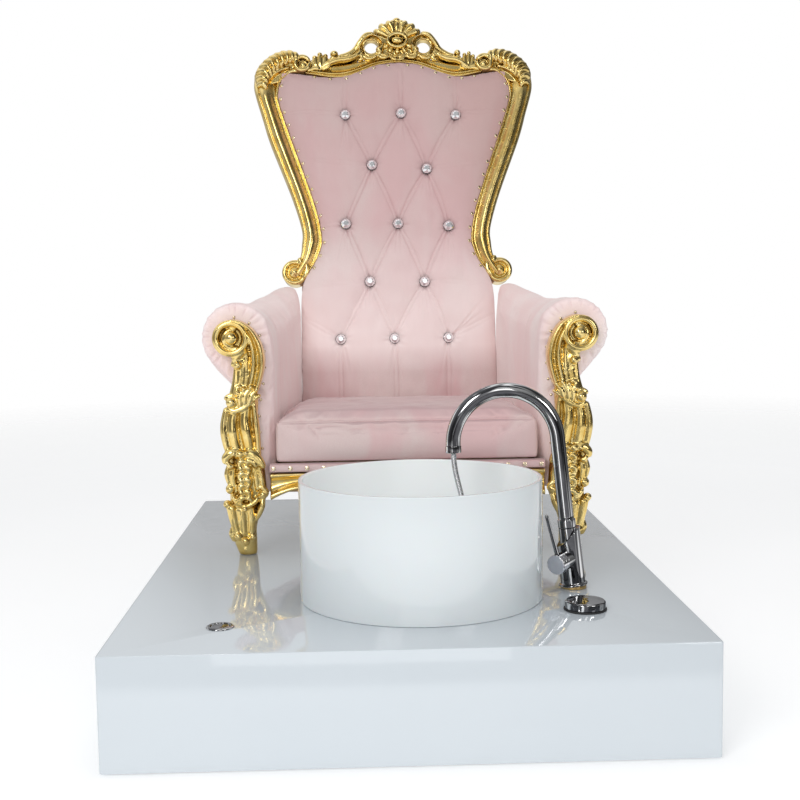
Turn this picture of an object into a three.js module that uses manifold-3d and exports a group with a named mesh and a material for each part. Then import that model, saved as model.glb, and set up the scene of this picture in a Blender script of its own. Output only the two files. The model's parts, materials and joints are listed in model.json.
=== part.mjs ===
// A pedicure spa chair: a carved throne armchair with a tufted back, standing on a plumbed platform
// that carries a round foot basin, a leaning gooseneck mixer with a pull-out spray, a drain knob and
// an air button. Millimetres, +Z up, the front faces -Y, the origin is the centre of the platform's
// footprint on the floor.
import * as THREE from "three";
import { mergeVertices } from "three/addons/utils/BufferGeometryUtils.js";
import Module from "manifold-3d";

const wasm = await Module();
wasm.setup();

// ---------------------------------------------------------------- driving dimensions
const PLATFORM = { width: 1000, depth: 1390, height: 195, lift: 4, wall: 15, deck: 18, corner: 5 };
const DECK_Z = PLATFORM.height;
const BASIN = { x: 33, y: -352, radius: 225, height: 222, wall: 7, floor: 16 };
const DRAIN = { radius: 21, bore: 17, tailBottom: 95 };
const FAUCET = { x: 323, y: -327, leanDeg: 6, seat: 6, bodyR: 23, bodyTop: 114, tubeR: 14 };
const SPOUT = { straight: 291, bendR: 98, sweepDeg: 176 };
const VALVE = { z: 58, r: 18, reach: 36.5, capReach: 58, turnDeg: 38 };
const LEVER = { length: 102, radius: 3.8, reach: 44, tiltDeg: 16 };
const KNOB = { x: 316, y: -483, radius: 36, height: 19 };
const AIR_BUTTON = { x: -320, y: -542, bezelR: 24, buttonR: 16 };
const CHAIR_X = 25;
const SEAT = {
  half: 284,
  rearHalf: 238,
  taper: { start: 250, end: 483 },
  front: 12,
  rear: 418,
  bottom: 198,
  top: 292,
};
const RAKE_DEG = 9;
const BACK = { pivotY: 475, pivotZ: 300, frameFront: -8, frameRear: 44 };
const CREST = { shift: 11, from: 222, taper: 100, eyeX: 67, eyeZ: 893, eyeR: 15 };
const POST = { front: 2, rear: 28, scrollX: 371, scrollZ: 470, scrollR: 40 };
const ARM = { front: 30, bottom: 130 };
const GAP = 0.5;

// ---------------------------------------------------------------- materials
const material = (colour, roughness, metalness = 0) =>
  new THREE.MeshStandardMaterial({ color: colour, roughness, metalness });
const LACQUER = material("#d9e1e6", 0.08);
const ACRYLIC = material("#e6edee", 0.06);
const GOLD = material("#c39a35", 0.3, 1);
const VELVET = material("#d3aaad", 0.95);
const CHROME = material("#c9ccd0", 0.06, 1);
const BRASS = material("#b98b42", 0.35, 1);
const CRYSTAL = material("#eef0f2", 0.05);
const RUBBER = material("#1d1d1f", 0.7);
const TIMBER = material("#b99366", 0.7);
const PLY = material("#c4a377", 0.75);
const PUMP_PLASTIC = material("#33373c", 0.5);
const PIPE_PLASTIC = material("#b9bcbf", 0.45);

const rad = THREE.MathUtils.degToRad;
const part = new THREE.Group();

// ---------------------------------------------------------------- solids
// A closed geometry as a solid that can be cut and joined.
function solid(geometry, matrix) {
  const source = geometry.index ? geometry.toNonIndexed() : geometry.clone();
  const bare = new THREE.BufferGeometry();
  bare.setAttribute("position", source.getAttribute("position"));
  if (matrix) bare.applyMatrix4(matrix);
  const merged = mergeVertices(bare, 1e-3);
  return new wasm.Manifold(
    new wasm.Mesh({
      numProp: 3,
      vertProperties: new Float32Array(merged.attributes.position.array),
      triVerts: new Uint32Array(merged.index.array),
    }),
  );
}

function geometryOf(body) {
  const mesh = body.getMesh();
  const geometry = new THREE.BufferGeometry();
  geometry.setAttribute("position", new THREE.BufferAttribute(mesh.vertProperties, 3));
  geometry.setIndex(new THREE.BufferAttribute(mesh.triVerts, 1));
  return geometry;
}

function join(...bodies) {
  return bodies.reduce((sum, body) => sum.add(body));
}

// Adds one named piece to a group. The shape is a geometry or a solid.
function piece(group, name, shape, look) {
  const flat = shape.isBufferGeometry ? shape : geometryOf(shape).toNonIndexed();
  flat.computeVertexNormals();
  const mesh = new THREE.Mesh(flat, look);
  mesh.name = name;
  group.add(mesh);
  return mesh;
}

function at(x, y, z) {
  return new THREE.Matrix4().makeTranslation(x, y, z);
}

// A box between two corners.
function block(x0, x1, y0, y1, z0, z1) {
  const box = new THREE.BoxGeometry(x1 - x0, y1 - y0, z1 - z0);
  return solid(box, at((x0 + x1) / 2, (y0 + y1) / 2, (z0 + z1) / 2));
}

// A cylinder from one point towards another.
function rod(from, to, radius, segments = 20) {
  const start = new THREE.Vector3(...from);
  const end = new THREE.Vector3(...to);
  const along = end.clone().sub(start);
  const turn = new THREE.Quaternion().setFromUnitVectors(
    new THREE.Vector3(0, 1, 0),
    along.clone().normalize(),
  );
  const place = new THREE.Matrix4().compose(
    start.add(end).multiplyScalar(0.5),
    turn,
    new THREE.Vector3(1, 1, 1),
  );
  return solid(new THREE.CylinderGeometry(radius, radius, along.length(), segments), place);
}

// A turned piece about +Z. The profile is [radius, z] pairs that go up the outside.
function turned(profile, segments = 32) {
  const points = profile.map(([r, z]) => new THREE.Vector2(r, z));
  const lathe = new THREE.LatheGeometry(points, segments);
  return solid(lathe, new THREE.Matrix4().makeRotationX(Math.PI / 2));
}

function circleShape(radius, segments, boreRadius = 0) {
  const ring = (r) =>
    Array.from({ length: segments }, (_, i) => {
      const a = (2 * Math.PI * i) / segments;
      return new THREE.Vector2(r * Math.cos(a), r * Math.sin(a));
    });
  const shape = new THREE.Shape(ring(radius));
  if (boreRadius) shape.holes.push(new THREE.Path(ring(boreRadius).reverse()));
  return shape;
}

// A round tube or rod along a curve through the points.
function hose(points, radius, steps = 24, segments = 10, boreRadius = 0) {
  const curve = new THREE.CatmullRomCurve3(points.map((p) => new THREE.Vector3(...p)), false, "centripetal");
  const shape = circleShape(radius, segments, boreRadius);
  return solid(new THREE.ExtrudeGeometry(shape, { steps, extrudePath: curve }));
}

// A flat outline in X and Z, with its thickness from y0 to y1.
function slab(outline, y0, y1, bevel = 0) {
  const shape = new THREE.Shape(outline.map(([x, z]) => new THREE.Vector2(x, z)));
  const settings = {
    depth: y1 - y0 - 2 * bevel,
    bevelEnabled: bevel > 0,
    bevelThickness: bevel,
    bevelSize: bevel,
    bevelOffset: -bevel,
    bevelSegments: 1,
  };
  const place = new THREE.Matrix4().makeRotationX(Math.PI / 2);
  place.premultiply(at(0, y1 - bevel, 0));
  return solid(new THREE.ExtrudeGeometry(shape, settings), place);
}

// Points on a smooth curve through the given [x, z] points.
function smooth(points, count) {
  const curve = new THREE.SplineCurve(points.map(([x, z]) => new THREE.Vector2(x, z)));
  return curve.getPoints(count).map((p) => [p.x, p.y]);
}

function mirrored(points) {
  return points.map(([x, ...rest]) => [-x, ...rest]).reverse();
}

function flipX(body) {
  return body.mirror([1, 0, 0]);
}

function arc(cx, cz, radius, fromDeg, toDeg, count) {
  return Array.from({ length: count + 1 }, (_, i) => {
    const a = rad(fromDeg + ((toDeg - fromDeg) * i) / count);
    return [cx + radius * Math.cos(a), cz + radius * Math.sin(a)];
  });
}

// A closed skin over rings of equal length, each a list of [x, y, z], with flat ends.
function skin(rings) {
  const size = rings[0].length;
  const position = rings.flat(2);
  const index = [];
  const ends = [rings[0], rings[rings.length - 1]].map((ring) => {
    const middle = ring.reduce((sum, p) => sum.map((v, k) => v + p[k] / size), [0, 0, 0]);
    position.push(...middle);
    return position.length / 3 - 1;
  });
  for (let r = 0; r + 1 < rings.length; r++)
    for (let i = 0; i < size; i++) {
      const j = (i + 1) % size;
      const [a, b, c, d] = [r * size + i, r * size + j, (r + 1) * size + i, (r + 1) * size + j];
      index.push(a, b, d, a, d, c);
    }
  const last = (rings.length - 1) * size;
  for (let i = 0; i < size; i++) {
    const j = (i + 1) % size;
    index.push(ends[0], j, i);
    index.push(ends[1], last + i, last + j);
  }
  const geometry = new THREE.BufferGeometry();
  geometry.setAttribute("position", new THREE.Float32BufferAttribute(position, 3));
  geometry.setIndex(index);
  const body = solid(geometry);
  if (body.volume() > 0) return body;
  geometry.setIndex(index.reverse());
  return solid(geometry);
}

// An upright limb with oval sections. Each station is [z, x, y, half width, half depth].
function limb(stations, count, segments = 14) {
  const track = (k) => new THREE.SplineCurve(stations.map((s) => new THREE.Vector2(s[0], s[k])));
  const tracks = [1, 2, 3, 4].map(track);
  const rings = Array.from({ length: count + 1 }, (_, i) => {
    const samples = tracks.map((curve) => curve.getPoint(i / count));
    const [x, y, w, d] = samples.map((p) => p.y);
    return Array.from({ length: segments }, (_, j) => {
      const a = (2 * Math.PI * j) / segments;
      return [x + w * Math.cos(a), y + d * Math.sin(a), samples[0].x];
    });
  });
  return skin(rings);
}

// ---------------------------------------------------------------- platform
function platformShell() {
  const { width, depth, height, lift, wall, deck, corner } = PLATFORM;
  const [w, d] = [width / 2, depth / 2];
  const rounded = [
    ...arc(w - corner, d - corner, corner, 0, 90, 3),
    ...arc(-w + corner, d - corner, corner, 90, 180, 3),
    ...arc(-w + corner, -d + corner, corner, 180, 270, 3),
    ...arc(w - corner, -d + corner, corner, 270, 360, 3),
  ];
  const outline = new THREE.Shape(rounded.map(([x, y]) => new THREE.Vector2(x, y)));
  const edge = 2.5;
  const settings = {
    depth: height - lift - edge,
    bevelEnabled: true,
    bevelThickness: edge,
    bevelSize: edge,
    bevelOffset: -edge,
    bevelSegments: 2,
  };
  const outer = solid(new THREE.ExtrudeGeometry(outline, settings), at(0, 0, lift));
  const above = block(-w, w, -d, d, lift, height + 1);
  const hollow = block(-w + wall, w - wall, -d + wall, d - wall, 0, height - deck);
  const panelHole = block(-251, 251, d - wall - 1, d + 1, 44, 146);
  const drill = (x, y, r) => rod([x, y, height - deck - 1], [x, y, height + 1], r, 16);
  return outer
    .intersect(above)
    .subtract(hollow)
    .subtract(panelHole)
    .subtract(rod([380, d - wall - 1, 60], [380, d + 1, 60], 20, 16))
    .subtract(drill(BASIN.x, BASIN.y, DRAIN.radius + 2))
    .subtract(drill(FAUCET.x, FAUCET.y, 17))
    .subtract(drill(KNOB.x, KNOB.y, 11))
    .subtract(drill(AIR_BUTTON.x, AIR_BUTTON.y, 20.5));
}

// The service panel: a plate with a lip behind it and two finger slots.
function accessPanel() {
  const back = PLATFORM.depth / 2;
  const plate = block(-249, 249, back - PLATFORM.wall + 1, back - 0.5, 46, 144);
  const slot = (x) => block(x - 30, x + 30, back - PLATFORM.wall, back, 114, 126);
  return plate.subtract(slot(-150)).subtract(slot(150));
}

// Timber ladder frame that carries the deck.
function baseFrame() {
  const [x, y] = [483, 678];
  const [low, high] = [8, 176];
  const bar = 32;
  const ring = (z0) =>
    block(-x, x, -y, y, z0, z0 + bar).subtract(
      block(-x + bar, x - bar, -y + bar, y - bar, z0 - 1, z0 + bar + 1),
    );
  const post = (cx, cy) => block(cx - bar / 2, cx + bar / 2, cy - bar / 2, cy + bar / 2, low, high);
  const posts = [-1, 1].flatMap((sx) =>
    [-1, 0, 1].map((sy) => post(sx * (x - bar / 2), sy * (y - bar / 2))),
  );
  const bearer = (cy) => block(-x + 1, x - 1, cy - bar / 2, cy + bar / 2, high - bar, high);
  return join(ring(low), ring(high - bar), ...posts, bearer(-150), bearer(35), bearer(545));
}

function footPad() {
  return turned([[0, 0], [26, 0], [30, 3], [30, 7.5], [0, 7.5]], 14);
}

function buildPlatform() {
  const group = new THREE.Group();
  piece(group, "platform_shell", platformShell(), LACQUER);
  piece(group, "rear_access_panel", accessPanel(), LACQUER);
  piece(group, "base_frame", baseFrame(), TIMBER);
  for (const [row, sy] of [["front", -1], ["rear", 1]])
    for (const [side, sx] of [["left", -1], ["right", 1]]) {
      const pad = piece(group, `foot_pad_${row}_${side}`, footPad(), RUBBER);
      pad.position.set(sx * 445, sy * 640, 0);
    }
  return group;
}

// ---------------------------------------------------------------- basin and drain
function basinBowl() {
  const { radius: r, height: h, wall, floor } = BASIN;
  const inner = r - wall;
  const cove = 38;
  const coveArc = arc(inner - cove, floor + cove, cove, 0, -90, 3);
  const profile = [
    [DRAIN.radius + 12, 0.3],
    [r - 3, 0.3],
    [r, 3.3],
    [r, h - 2],
    [r - 2, h],
    [inner + 2, h],
    [inner, h - 2],
    ...coveArc,
    [DRAIN.radius + 15, floor - 2],
    [DRAIN.radius + 1, floor - 5],
    [DRAIN.radius + 1, 0.3],
  ];
  return turned([...profile, profile[0]], 32);
}

// Strainer flange and tail pipe, with a spider that guides the stopper's stem.
function drainFlange() {
  const top = DECK_Z + BASIN.floor;
  const { radius, bore, tailBottom } = DRAIN;
  const profile = [
    [bore, tailBottom],
    [radius, tailBottom],
    [radius, top - 4],
    [33, top - 1.5],
    [33, top],
    [bore + 6, top],
    [bore, top - 5],
    [bore, tailBottom],
  ];
  const guide = rod([0, 0, top - 30], [0, 0, top - 14], 7, 10);
  const web = (a) => {
    const [x, y] = [Math.cos(rad(a)) * (bore + 1), Math.sin(rad(a)) * (bore + 1)];
    return rod([0, 0, top - 22], [x, y, top - 22], 2, 5);
  };
  const stemHole = rod([0, 0, top - 40], [0, 0, top], 4.5, 10);
  return join(turned(profile, 20), guide, web(90), web(210), web(330)).subtract(stemHole);
}

function drainStopper() {
  const top = DECK_Z + BASIN.floor;
  const stem = [[0, top - 40], [4, top - 40], [4, top + 0.6]];
  const cap = [[27, top + 0.6], [28, top + 2.5], [20, top + 6], [0, top + 7.5]];
  return turned([...stem, ...cap], 20);
}

// A small self-priming pump: motor, volute and two stubs.
function drainPump() {
  const [x, y, z] = [200, 180, 72];
  return join(
    rod([x + 10, y, z], [x + 120, y, z], 38, 20),
    rod([x - 22, y, z], [x + 12, y, z], 46, 20),
    rod([x - 50, y, z], [x - 20, y, z], 17, 14),
    rod([x - 6, y + 30, z], [x - 6, y + 75, z], 14, 14),
    block(x - 10, x + 110, y - 30, y + 30, 42, z),
  );
}

function buildDrain() {
  const group = new THREE.Group();
  const bowl = piece(group, "basin", basinBowl(), ACRYLIC);
  bowl.position.set(BASIN.x, BASIN.y, DECK_Z);
  for (const [name, shape] of [["drain_flange", drainFlange()], ["drain_stopper", drainStopper()]])
    piece(group, name, shape, CHROME).position.set(BASIN.x, BASIN.y, 0);
  piece(group, "drain_pump", drainPump(), PUMP_PLASTIC);
  const { x, y } = BASIN;
  const waste = [
    [x, y, DRAIN.tailBottom - 1.5],
    [x, y, 80],
    [x + 10, y + 60, 44],
    [50, -60, 46],
    [70, 120, 66],
    [125, 180, 72],
    [148.5, 180, 72],
  ];
  piece(group, "drain_pipe", hose(waste, 17, 13, 8, 14), PIPE_PLASTIC);
  const outlet = [[194, 256.5, 72], [194, 300, 72], [290, 450, 62], [380, 600, 60], [380, 694, 60]];
  piece(group, "outlet_pipe", hose(outlet, 14, 10, 8, 11), PIPE_PLASTIC);
  return group;
}

// The turning knob of the waste, with a set-screw hole in its side.
function drainKnob() {
  const { radius: r, height: h } = KNOB;
  const stem = [[0, -30], [6, -30], [6, 3.5]];
  const head = [[r, 3.5], [r, h - 4], [r - 3, h - 2], [r - 14, h - 0.6], [0, h]];
  return turned([...stem, ...head], 26).subtract(rod([8, -r, 11], [8, -r + 6, 11], 2.6, 8));
}

function drainKnobSeat() {
  const r = KNOB.radius + 2;
  return turned([[6.4, -26], [10, -26], [10, 0.3], [r, 0.3], [r, 3], [6.4, 3], [6.4, -26]], 22);
}

function airButtonBezel() {
  const r = AIR_BUTTON.bezelR;
  return turned(
    [[13, -46], [20, -46], [20, 0.3], [r, 0.3], [r - 2, 3], [17, 3], [16.4, -8], [13, -10], [13, -46]],
    20,
  );
}

function airButtonCap() {
  return turned([[0, -24], [12.4, -24], [12.4, -2.5], [16, -2.3], [16, 1.5], [0, 4]], 20);
}

function buildDeckControls() {
  const group = new THREE.Group();
  for (const [name, shape, look, spot] of [
    ["drain_knob", drainKnob(), CHROME, KNOB],
    ["drain_knob_seat", drainKnobSeat(), RUBBER, KNOB],
    ["air_button", airButtonCap(), CHROME, AIR_BUTTON],
    ["air_button_bezel", airButtonBezel(), CHROME, AIR_BUTTON],
  ])
    piece(group, name, shape, look).position.set(spot.x, spot.y, DECK_Z);
  const flangeSide = BASIN.x + DRAIN.radius;
  const cable = [
    [KNOB.x, KNOB.y, 163],
    [KNOB.x, KNOB.y, 145],
    [260, -460, 118],
    [140, -380, 118],
    [flangeSide + 20, BASIN.y, 132],
    [flangeSide + 1.5, BASIN.y, 132],
  ];
  piece(group, "drain_cable", hose(cable, 4, 18, 6), RUBBER);
  const air = [
    [AIR_BUTTON.x, AIR_BUTTON.y, 148],
    [AIR_BUTTON.x, AIR_BUTTON.y, 125],
    [-250, -420, 90],
    [-80, -60, 110],
    [120, 110, 145],
    [230, 180, 135],
    [230, 180, 112],
  ];
  piece(group, "air_tube", hose(air, 4, 20, 6), PIPE_PLASTIC);
  return group;
}

// ---------------------------------------------------------------- faucet
// Built upright about its own axis, then leaned towards the basin by its group.
const lean = new THREE.Matrix4()
  .makeRotationY(rad(-FAUCET.leanDeg))
  .premultiply(at(FAUCET.x, FAUCET.y, DECK_Z));
const valveOut = [-Math.sin(rad(VALVE.turnDeg)), -Math.cos(rad(VALVE.turnDeg))];
const onValve = (reach, z = VALVE.z) => [valveOut[0] * reach, valveOut[1] * reach, z];

// The tan seat ring is cut to a wedge, so that it fills the gap under the leaning flange.
function faucetSeat() {
  const upright = turned([[15, 0.3], [24, 0.3], [24, 12], [15, 12], [15, 0.3]], 32);
  const above = block(-60, 60, -60, 60, FAUCET.seat - 0.3, 80);
  return upright.subtract(above.rotate([0, -FAUCET.leanDeg, 0]));
}

function faucetBody() {
  const { seat, bodyR: r, bodyTop } = FAUCET;
  const shell = turned(
    [[0, seat], [27, seat], [27, seat + 3], [r, seat + 6], [r, bodyTop + 10], [0, bodyTop + 10]],
    20,
  );
  // The top of the shell is cut on a slant that falls towards the basin side.
  const slant = block(-80, 80, -80, 80, 0, 90).rotate([0, -38, 0]).translate([0, 0, bodyTop - 14]);
  const branch = rod(onValve(0), onValve(VALVE.reach), VALVE.r, 16);
  const neck = turned([[0, 30], [16.4, 30], [16.4, bodyTop + 2], [0, bodyTop + 2]], 24);
  const shank = turned([[0, -52], [13, -52], [13, seat + 1], [0, seat + 1]], 20);
  const socket = rod(onValve(VALVE.reach - 14), onValve(VALVE.reach + 5), 13, 20);
  const bore = rod([0, 0, 70], [0, 0, bodyTop + 20], 11.6, 20);
  return join(shell.subtract(slant), branch, neck, shank).subtract(bore).subtract(socket);
}

function faucetNut() {
  const hexagon = turned([[0, -44], [27, -44], [27, -32], [0, -32]], 6);
  return hexagon.subtract(rod([0, 0, -46], [0, 0, -30], 13.6, 20));
}

// The cap turns about the valve; its slot lets the lever tip outwards.
function mixerCap() {
  const drum = rod(onValve(VALVE.reach + GAP), onValve(VALVE.capReach), VALVE.r + 0.6, 18);
  const plug = rod(onValve(VALVE.reach - 12), onValve(VALVE.reach + 2), 12.4, 16);
  return join(drum, plug).subtract(leverSlot());
}

// A point up the lever when it is tipped outwards by the given angle.
function alongLever(distance, tiltDeg = LEVER.tiltDeg) {
  const out = LEVER.reach + distance * Math.sin(rad(tiltDeg));
  return onValve(out, VALVE.z + distance * Math.cos(rad(tiltDeg)));
}

function leverSlot() {
  const width = LEVER.radius + 0.8;
  const tilts = [0, LEVER.tiltDeg / 2, LEVER.tiltDeg];
  return join(...tilts.map((tilt) => rod(alongLever(-5.5, tilt), alongLever(VALVE.r + 8, tilt), width, 8)));
}

function mixerLever() {
  const shoulder = LEVER.length - 3;
  const tip = rod(alongLever(shoulder), alongLever(LEVER.length), LEVER.radius - 0.8, 12);
  return join(rod(alongLever(-4.5), alongLever(shoulder), LEVER.radius, 12), tip);
}

// Stem, collar and gooseneck in one tube that swivels in the body.
function spoutTube() {
  const { straight, bendR, sweepDeg } = SPOUT;
  const start = 136;
  const bend = arc(-bendR, straight, bendR, 0, sweepDeg, 14).map(([x, z]) => new THREE.Vector3(x, 0, z));
  const ring = (centre, along) => {
    const side = new THREE.Vector3(0, 1, 0);
    const across = new THREE.Vector3().crossVectors(along, side).normalize();
    return Array.from({ length: 12 }, (_, i) => {
      const a = (2 * Math.PI * i) / 12;
      const p = centre.clone();
      p.addScaledVector(across, FAUCET.tubeR * Math.cos(a)).addScaledVector(side, FAUCET.tubeR * Math.sin(a));
      return p.toArray();
    });
  };
  const up = new THREE.Vector3(0, 0, 1);
  const rings = [ring(new THREE.Vector3(0, 0, start), up)];
  bend.forEach((p, i) => {
    const a = rad((sweepDeg * i) / (bend.length - 1));
    rings.push(ring(p, new THREE.Vector3(-Math.sin(a), 0, Math.cos(a))));
  });
  const collar = turned(
    [[0, 72], [11.2, 72], [11.2, 117], [16.4, 117], [16.4, 131], [15, 133], [15, 138], [0, 138]],
    16,
  );
  return join(skin(rings), collar);
}

// The end of the gooseneck, where it points down into the basin.
const spoutEnd = (() => {
  const { bendR, straight, sweepDeg } = SPOUT;
  const [c, s] = [Math.cos(rad(sweepDeg)), Math.sin(rad(sweepDeg))];
  return {
    point: new THREE.Vector3(bendR * (c - 1), 0, straight + bendR * s),
    along: new THREE.Vector3(-s, 0, c),
  };
})();

function fromSpoutEnd(distance) {
  return spoutEnd.point.clone().addScaledVector(spoutEnd.along, distance).toArray();
}

function spoutNozzle() {
  const sleeve = rod(fromSpoutEnd(GAP), fromSpoutEnd(14), 14.6, 20);
  return sleeve.subtract(rod(fromSpoutEnd(-1), fromSpoutEnd(16), 7, 14));
}

// The spray head hangs in the basin on its hose; both lie in the plain row frame.
const nozzleTip = new THREE.Vector3(...fromSpoutEnd(14)).applyMatrix4(lean);
const SPRAY = { dock: 118, driftX: 16, driftY: -26 };
const headTop = nozzleTip.clone().add(new THREE.Vector3(SPRAY.driftX, SPRAY.driftY, -SPRAY.dock));

function sprayHead() {
  return turned([[0, -82], [13, -82], [14.5, -79], [14.5, -20], [9, -5], [8, 0], [0, 0]], 20);
}

function buildFaucet() {
  const group = new THREE.Group();
  const upright = new THREE.Group();
  group.add(upright);
  lean.decompose(upright.position, upright.quaternion, upright.scale);
  piece(group, "faucet_seat_ring", faucetSeat(), BRASS).position.set(FAUCET.x, FAUCET.y, DECK_Z);
  piece(upright, "faucet_body", faucetBody(), CHROME);
  piece(upright, "faucet_nut", faucetNut(), BRASS);
  piece(upright, "mixer_cap", mixerCap(), CHROME);
  piece(upright, "mixer_lever", mixerLever(), CHROME);
  piece(upright, "spout_tube", spoutTube(), CHROME);
  piece(upright, "spout_nozzle", spoutNozzle(), CHROME);
  piece(group, "spray_head", sprayHead(), CHROME).position.copy(headTop);
  const above = (point, rise) => point.clone().add(new THREE.Vector3(0, 0, rise));
  const line = [above(nozzleTip, 8), above(nozzleTip, -14), above(headTop, 24), above(headTop, 1.5)];
  piece(group, "spray_hose", hose(line.map((p) => p.toArray()), 5.2, 9, 8), CHROME);
  const tail = (side) => {
    const [x, y] = [FAUCET.x + 5, FAUCET.y];
    const wall = x + 66 + side * 12;
    return [
      [x + side * 7, y, 138],
      [x + side * 12, y + 4, 110],
      [x + side * 26 + 30, y + 110, 74],
      [wall - 6, y + 320, 62],
      [wall, 560, 96],
      [wall, 670, 96],
    ];
  };
  piece(group, "supply_hose_hot", hose(tail(-1), 6, 18, 6), PIPE_PLASTIC);
  piece(group, "supply_hose_cold", hose(tail(1), 6, 18, 6), PIPE_PLASTIC);
  return group;
}

// ---------------------------------------------------------------- chair, measured from the deck
// The carved post: a cabriole leg with a knee, a waisted upright, and a scroll at the arm.
function frontPost() {
  const leg = limb(
    [
      [0.3, 348, 30, 19, 19],
      [14, 350, 28, 23, 23],
      [36, 354, 26, 28, 25],
      [60, 350, 30, 24, 24],
      [90, 350, 34, 34, 28],
      [128, 344, 35, 45, 33],
      [160, 338, 34, 38, 31],
      [190, 343, 32, 41, 28],
      [225, 353, 22, 37, 19],
      [262, 358, 16, 40, 14],
      [300, 352, 16, 35, 14],
      [340, 350, 16, 34, 14],
      [375, 340, 15, 27, 13],
      [425, 330, 15, 25, 13],
      [452, 334, 15, 30, 13],
    ],
    21,
    10,
  );
  const scroll = rod(
    [POST.scrollX, POST.front, POST.scrollZ],
    [POST.scrollX, POST.rear, POST.scrollZ],
    POST.scrollR,
    18,
  );
  const strapOutline = [
    ...arc(POST.scrollX, POST.scrollZ, POST.scrollR - 1, 90, -20, 5),
    ...smooth([[356, 430], [352, 400], [340, 395]], 3),
    ...smooth([[305, 395], [304, 438], [325, 480], [352, 500]], 6),
  ];
  const strap = slab(strapOutline, POST.front + 2, POST.rear);
  const behind = block(200, 460, POST.rear + 1, 200, ARM.bottom - 0.7, 700);
  const below = block(200, 460, -80, 200, -60, 0.3);
  return join(leg, scroll, strap).subtract(behind).subtract(below);
}

function rearLeg() {
  return limb(
    [
      [0.3, 216, 612, 17, 19],
      [60, 216, 596, 19, 21],
      [130, 216, 562, 22, 24],
      [200, 216, 536, 22, 22],
      [282, 216, 532, 20, 20],
    ],
    8,
    10,
  );
}

// The arm's section: an upright wall with a roll that turns outwards over it.
function armSection(y, inner, outer, rollX, rollZ, rollR) {
  const rollEnd = -40;
  const roll = arc(rollX, rollZ, rollR, 128, rollEnd, 11);
  const [lastX, lastZ] = roll[roll.length - 1];
  const drop = (lastX - outer) / Math.tan(THREE.MathUtils.degToRad(-rollEnd));
  const face = [
    [inner, ARM.bottom],
    [inner, ARM.bottom + 90],
    [inner, rollZ - rollR],
    [inner + rollR * 0.04, rollZ],
    [inner + rollR * 0.16, rollZ + rollR * 0.55],
  ];
  const outside = [
    [outer, lastZ - drop],
    [outer, ARM.bottom + 90],
    [outer, ARM.bottom],
  ];
  return [...face, ...roll, ...outside].map(([x, z]) => [x, y, z]);
}

// Half the clear width of the seat: straight at the front, then drawn in towards the back.
function seatHalfAt(y) {
  const { half, taper, rearHalf } = SEAT;
  const { start, end } = taper;
  const share = THREE.MathUtils.clamp((y - start) / (end - start), 0, 1);
  return half + (rearHalf - half) * share;
}

function armPad() {
  const stations = [
    [ARM.front, 366, 368, 472, 75],
    [150, 364, 366, 472, 74],
    [SEAT.taper.start, 354, 354, 476, 67],
    [340, 338, 328, 491, 56],
    [420, 314, 302, 520, 45],
    [SEAT.taper.end, 295, 281, 545, 36],
    [500, 282, 271, 556, 26],
  ];
  return skin(stations.map(([y, ...rest]) => armSection(y, Math.max(seatHalfAt(y) + 5, 246), ...rest)));
}

// The seat's outline seen from above, drawn in by an inset.
function seatPlan(inset, front, rear) {
  const corner = seatHalfAt(SEAT.taper.start) - inset;
  const back = seatHalfAt(rear) - inset;
  return [
    [-corner, front],
    [corner, front],
    [corner, SEAT.taper.start],
    [back, rear],
    [-back, rear],
    [-corner, SEAT.taper.start],
  ];
}

function prism(points, z0, z1) {
  const shape = new THREE.Shape(points.map(([x, y]) => new THREE.Vector2(x, y)));
  const body = new THREE.ExtrudeGeometry(shape, { depth: z1 - z0, bevelEnabled: false });
  return solid(body, at(0, 0, z0));
}

function seatFrame() {
  const [low, high] = [132, 188];
  const outer = prism(seatPlan(0, 36, SEAT.taper.end), low, high);
  const inner = prism(seatPlan(28, 36 + 28, SEAT.taper.end - 28), low - 1, high + 1);
  const ring = outer.subtract(inner);
  const brace = block(-15, 15, 60, 460, low, low + 25);
  const corner = (x, y) => block(x - 22, x + 22, y - 22, y + 22, low, high - 8);
  return join(ring, brace, corner(-240, 80), corner(240, 80), corner(-186, 440), corner(186, 440));
}

function seatDeck() {
  return prism(seatPlan(20, 40, 456), 188.6, 196.6);
}

// A box cushion that narrows towards the back, rounded at its edges and crowned on top.
function seatCushion() {
  const { front, rear, bottom, top } = SEAT;
  const levels = [[8, bottom], [0, bottom + 10], [0, top - 6], [6, top + 1], [60, top + 9], [120, top + 12]];
  const ring = ([inset, z]) => seatPlan(inset + 1, front + inset, rear - inset).map(([x, y]) => [x, y, z]);
  return skin(levels.map(ring));
}

// The arched apron between the legs, with a carved drop at its middle.
function frontApron() {
  const arch = smooth([[297, 118], [272, 130], [240, 140], [190, 142], [130, 134], [50, 118], [0, 108]], 14);
  const outline = [...arch, ...mirrored(arch).slice(1), [-297, 177], [297, 177]];
  return slab(outline, 9, ARM.front - GAP, 3);
}

function frontRailCover() {
  return slab([[-296, 178.5], [296, 178.5], [296, 196.5], [-296, 196.5]], 8, ARM.front - GAP, 3);
}

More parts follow.
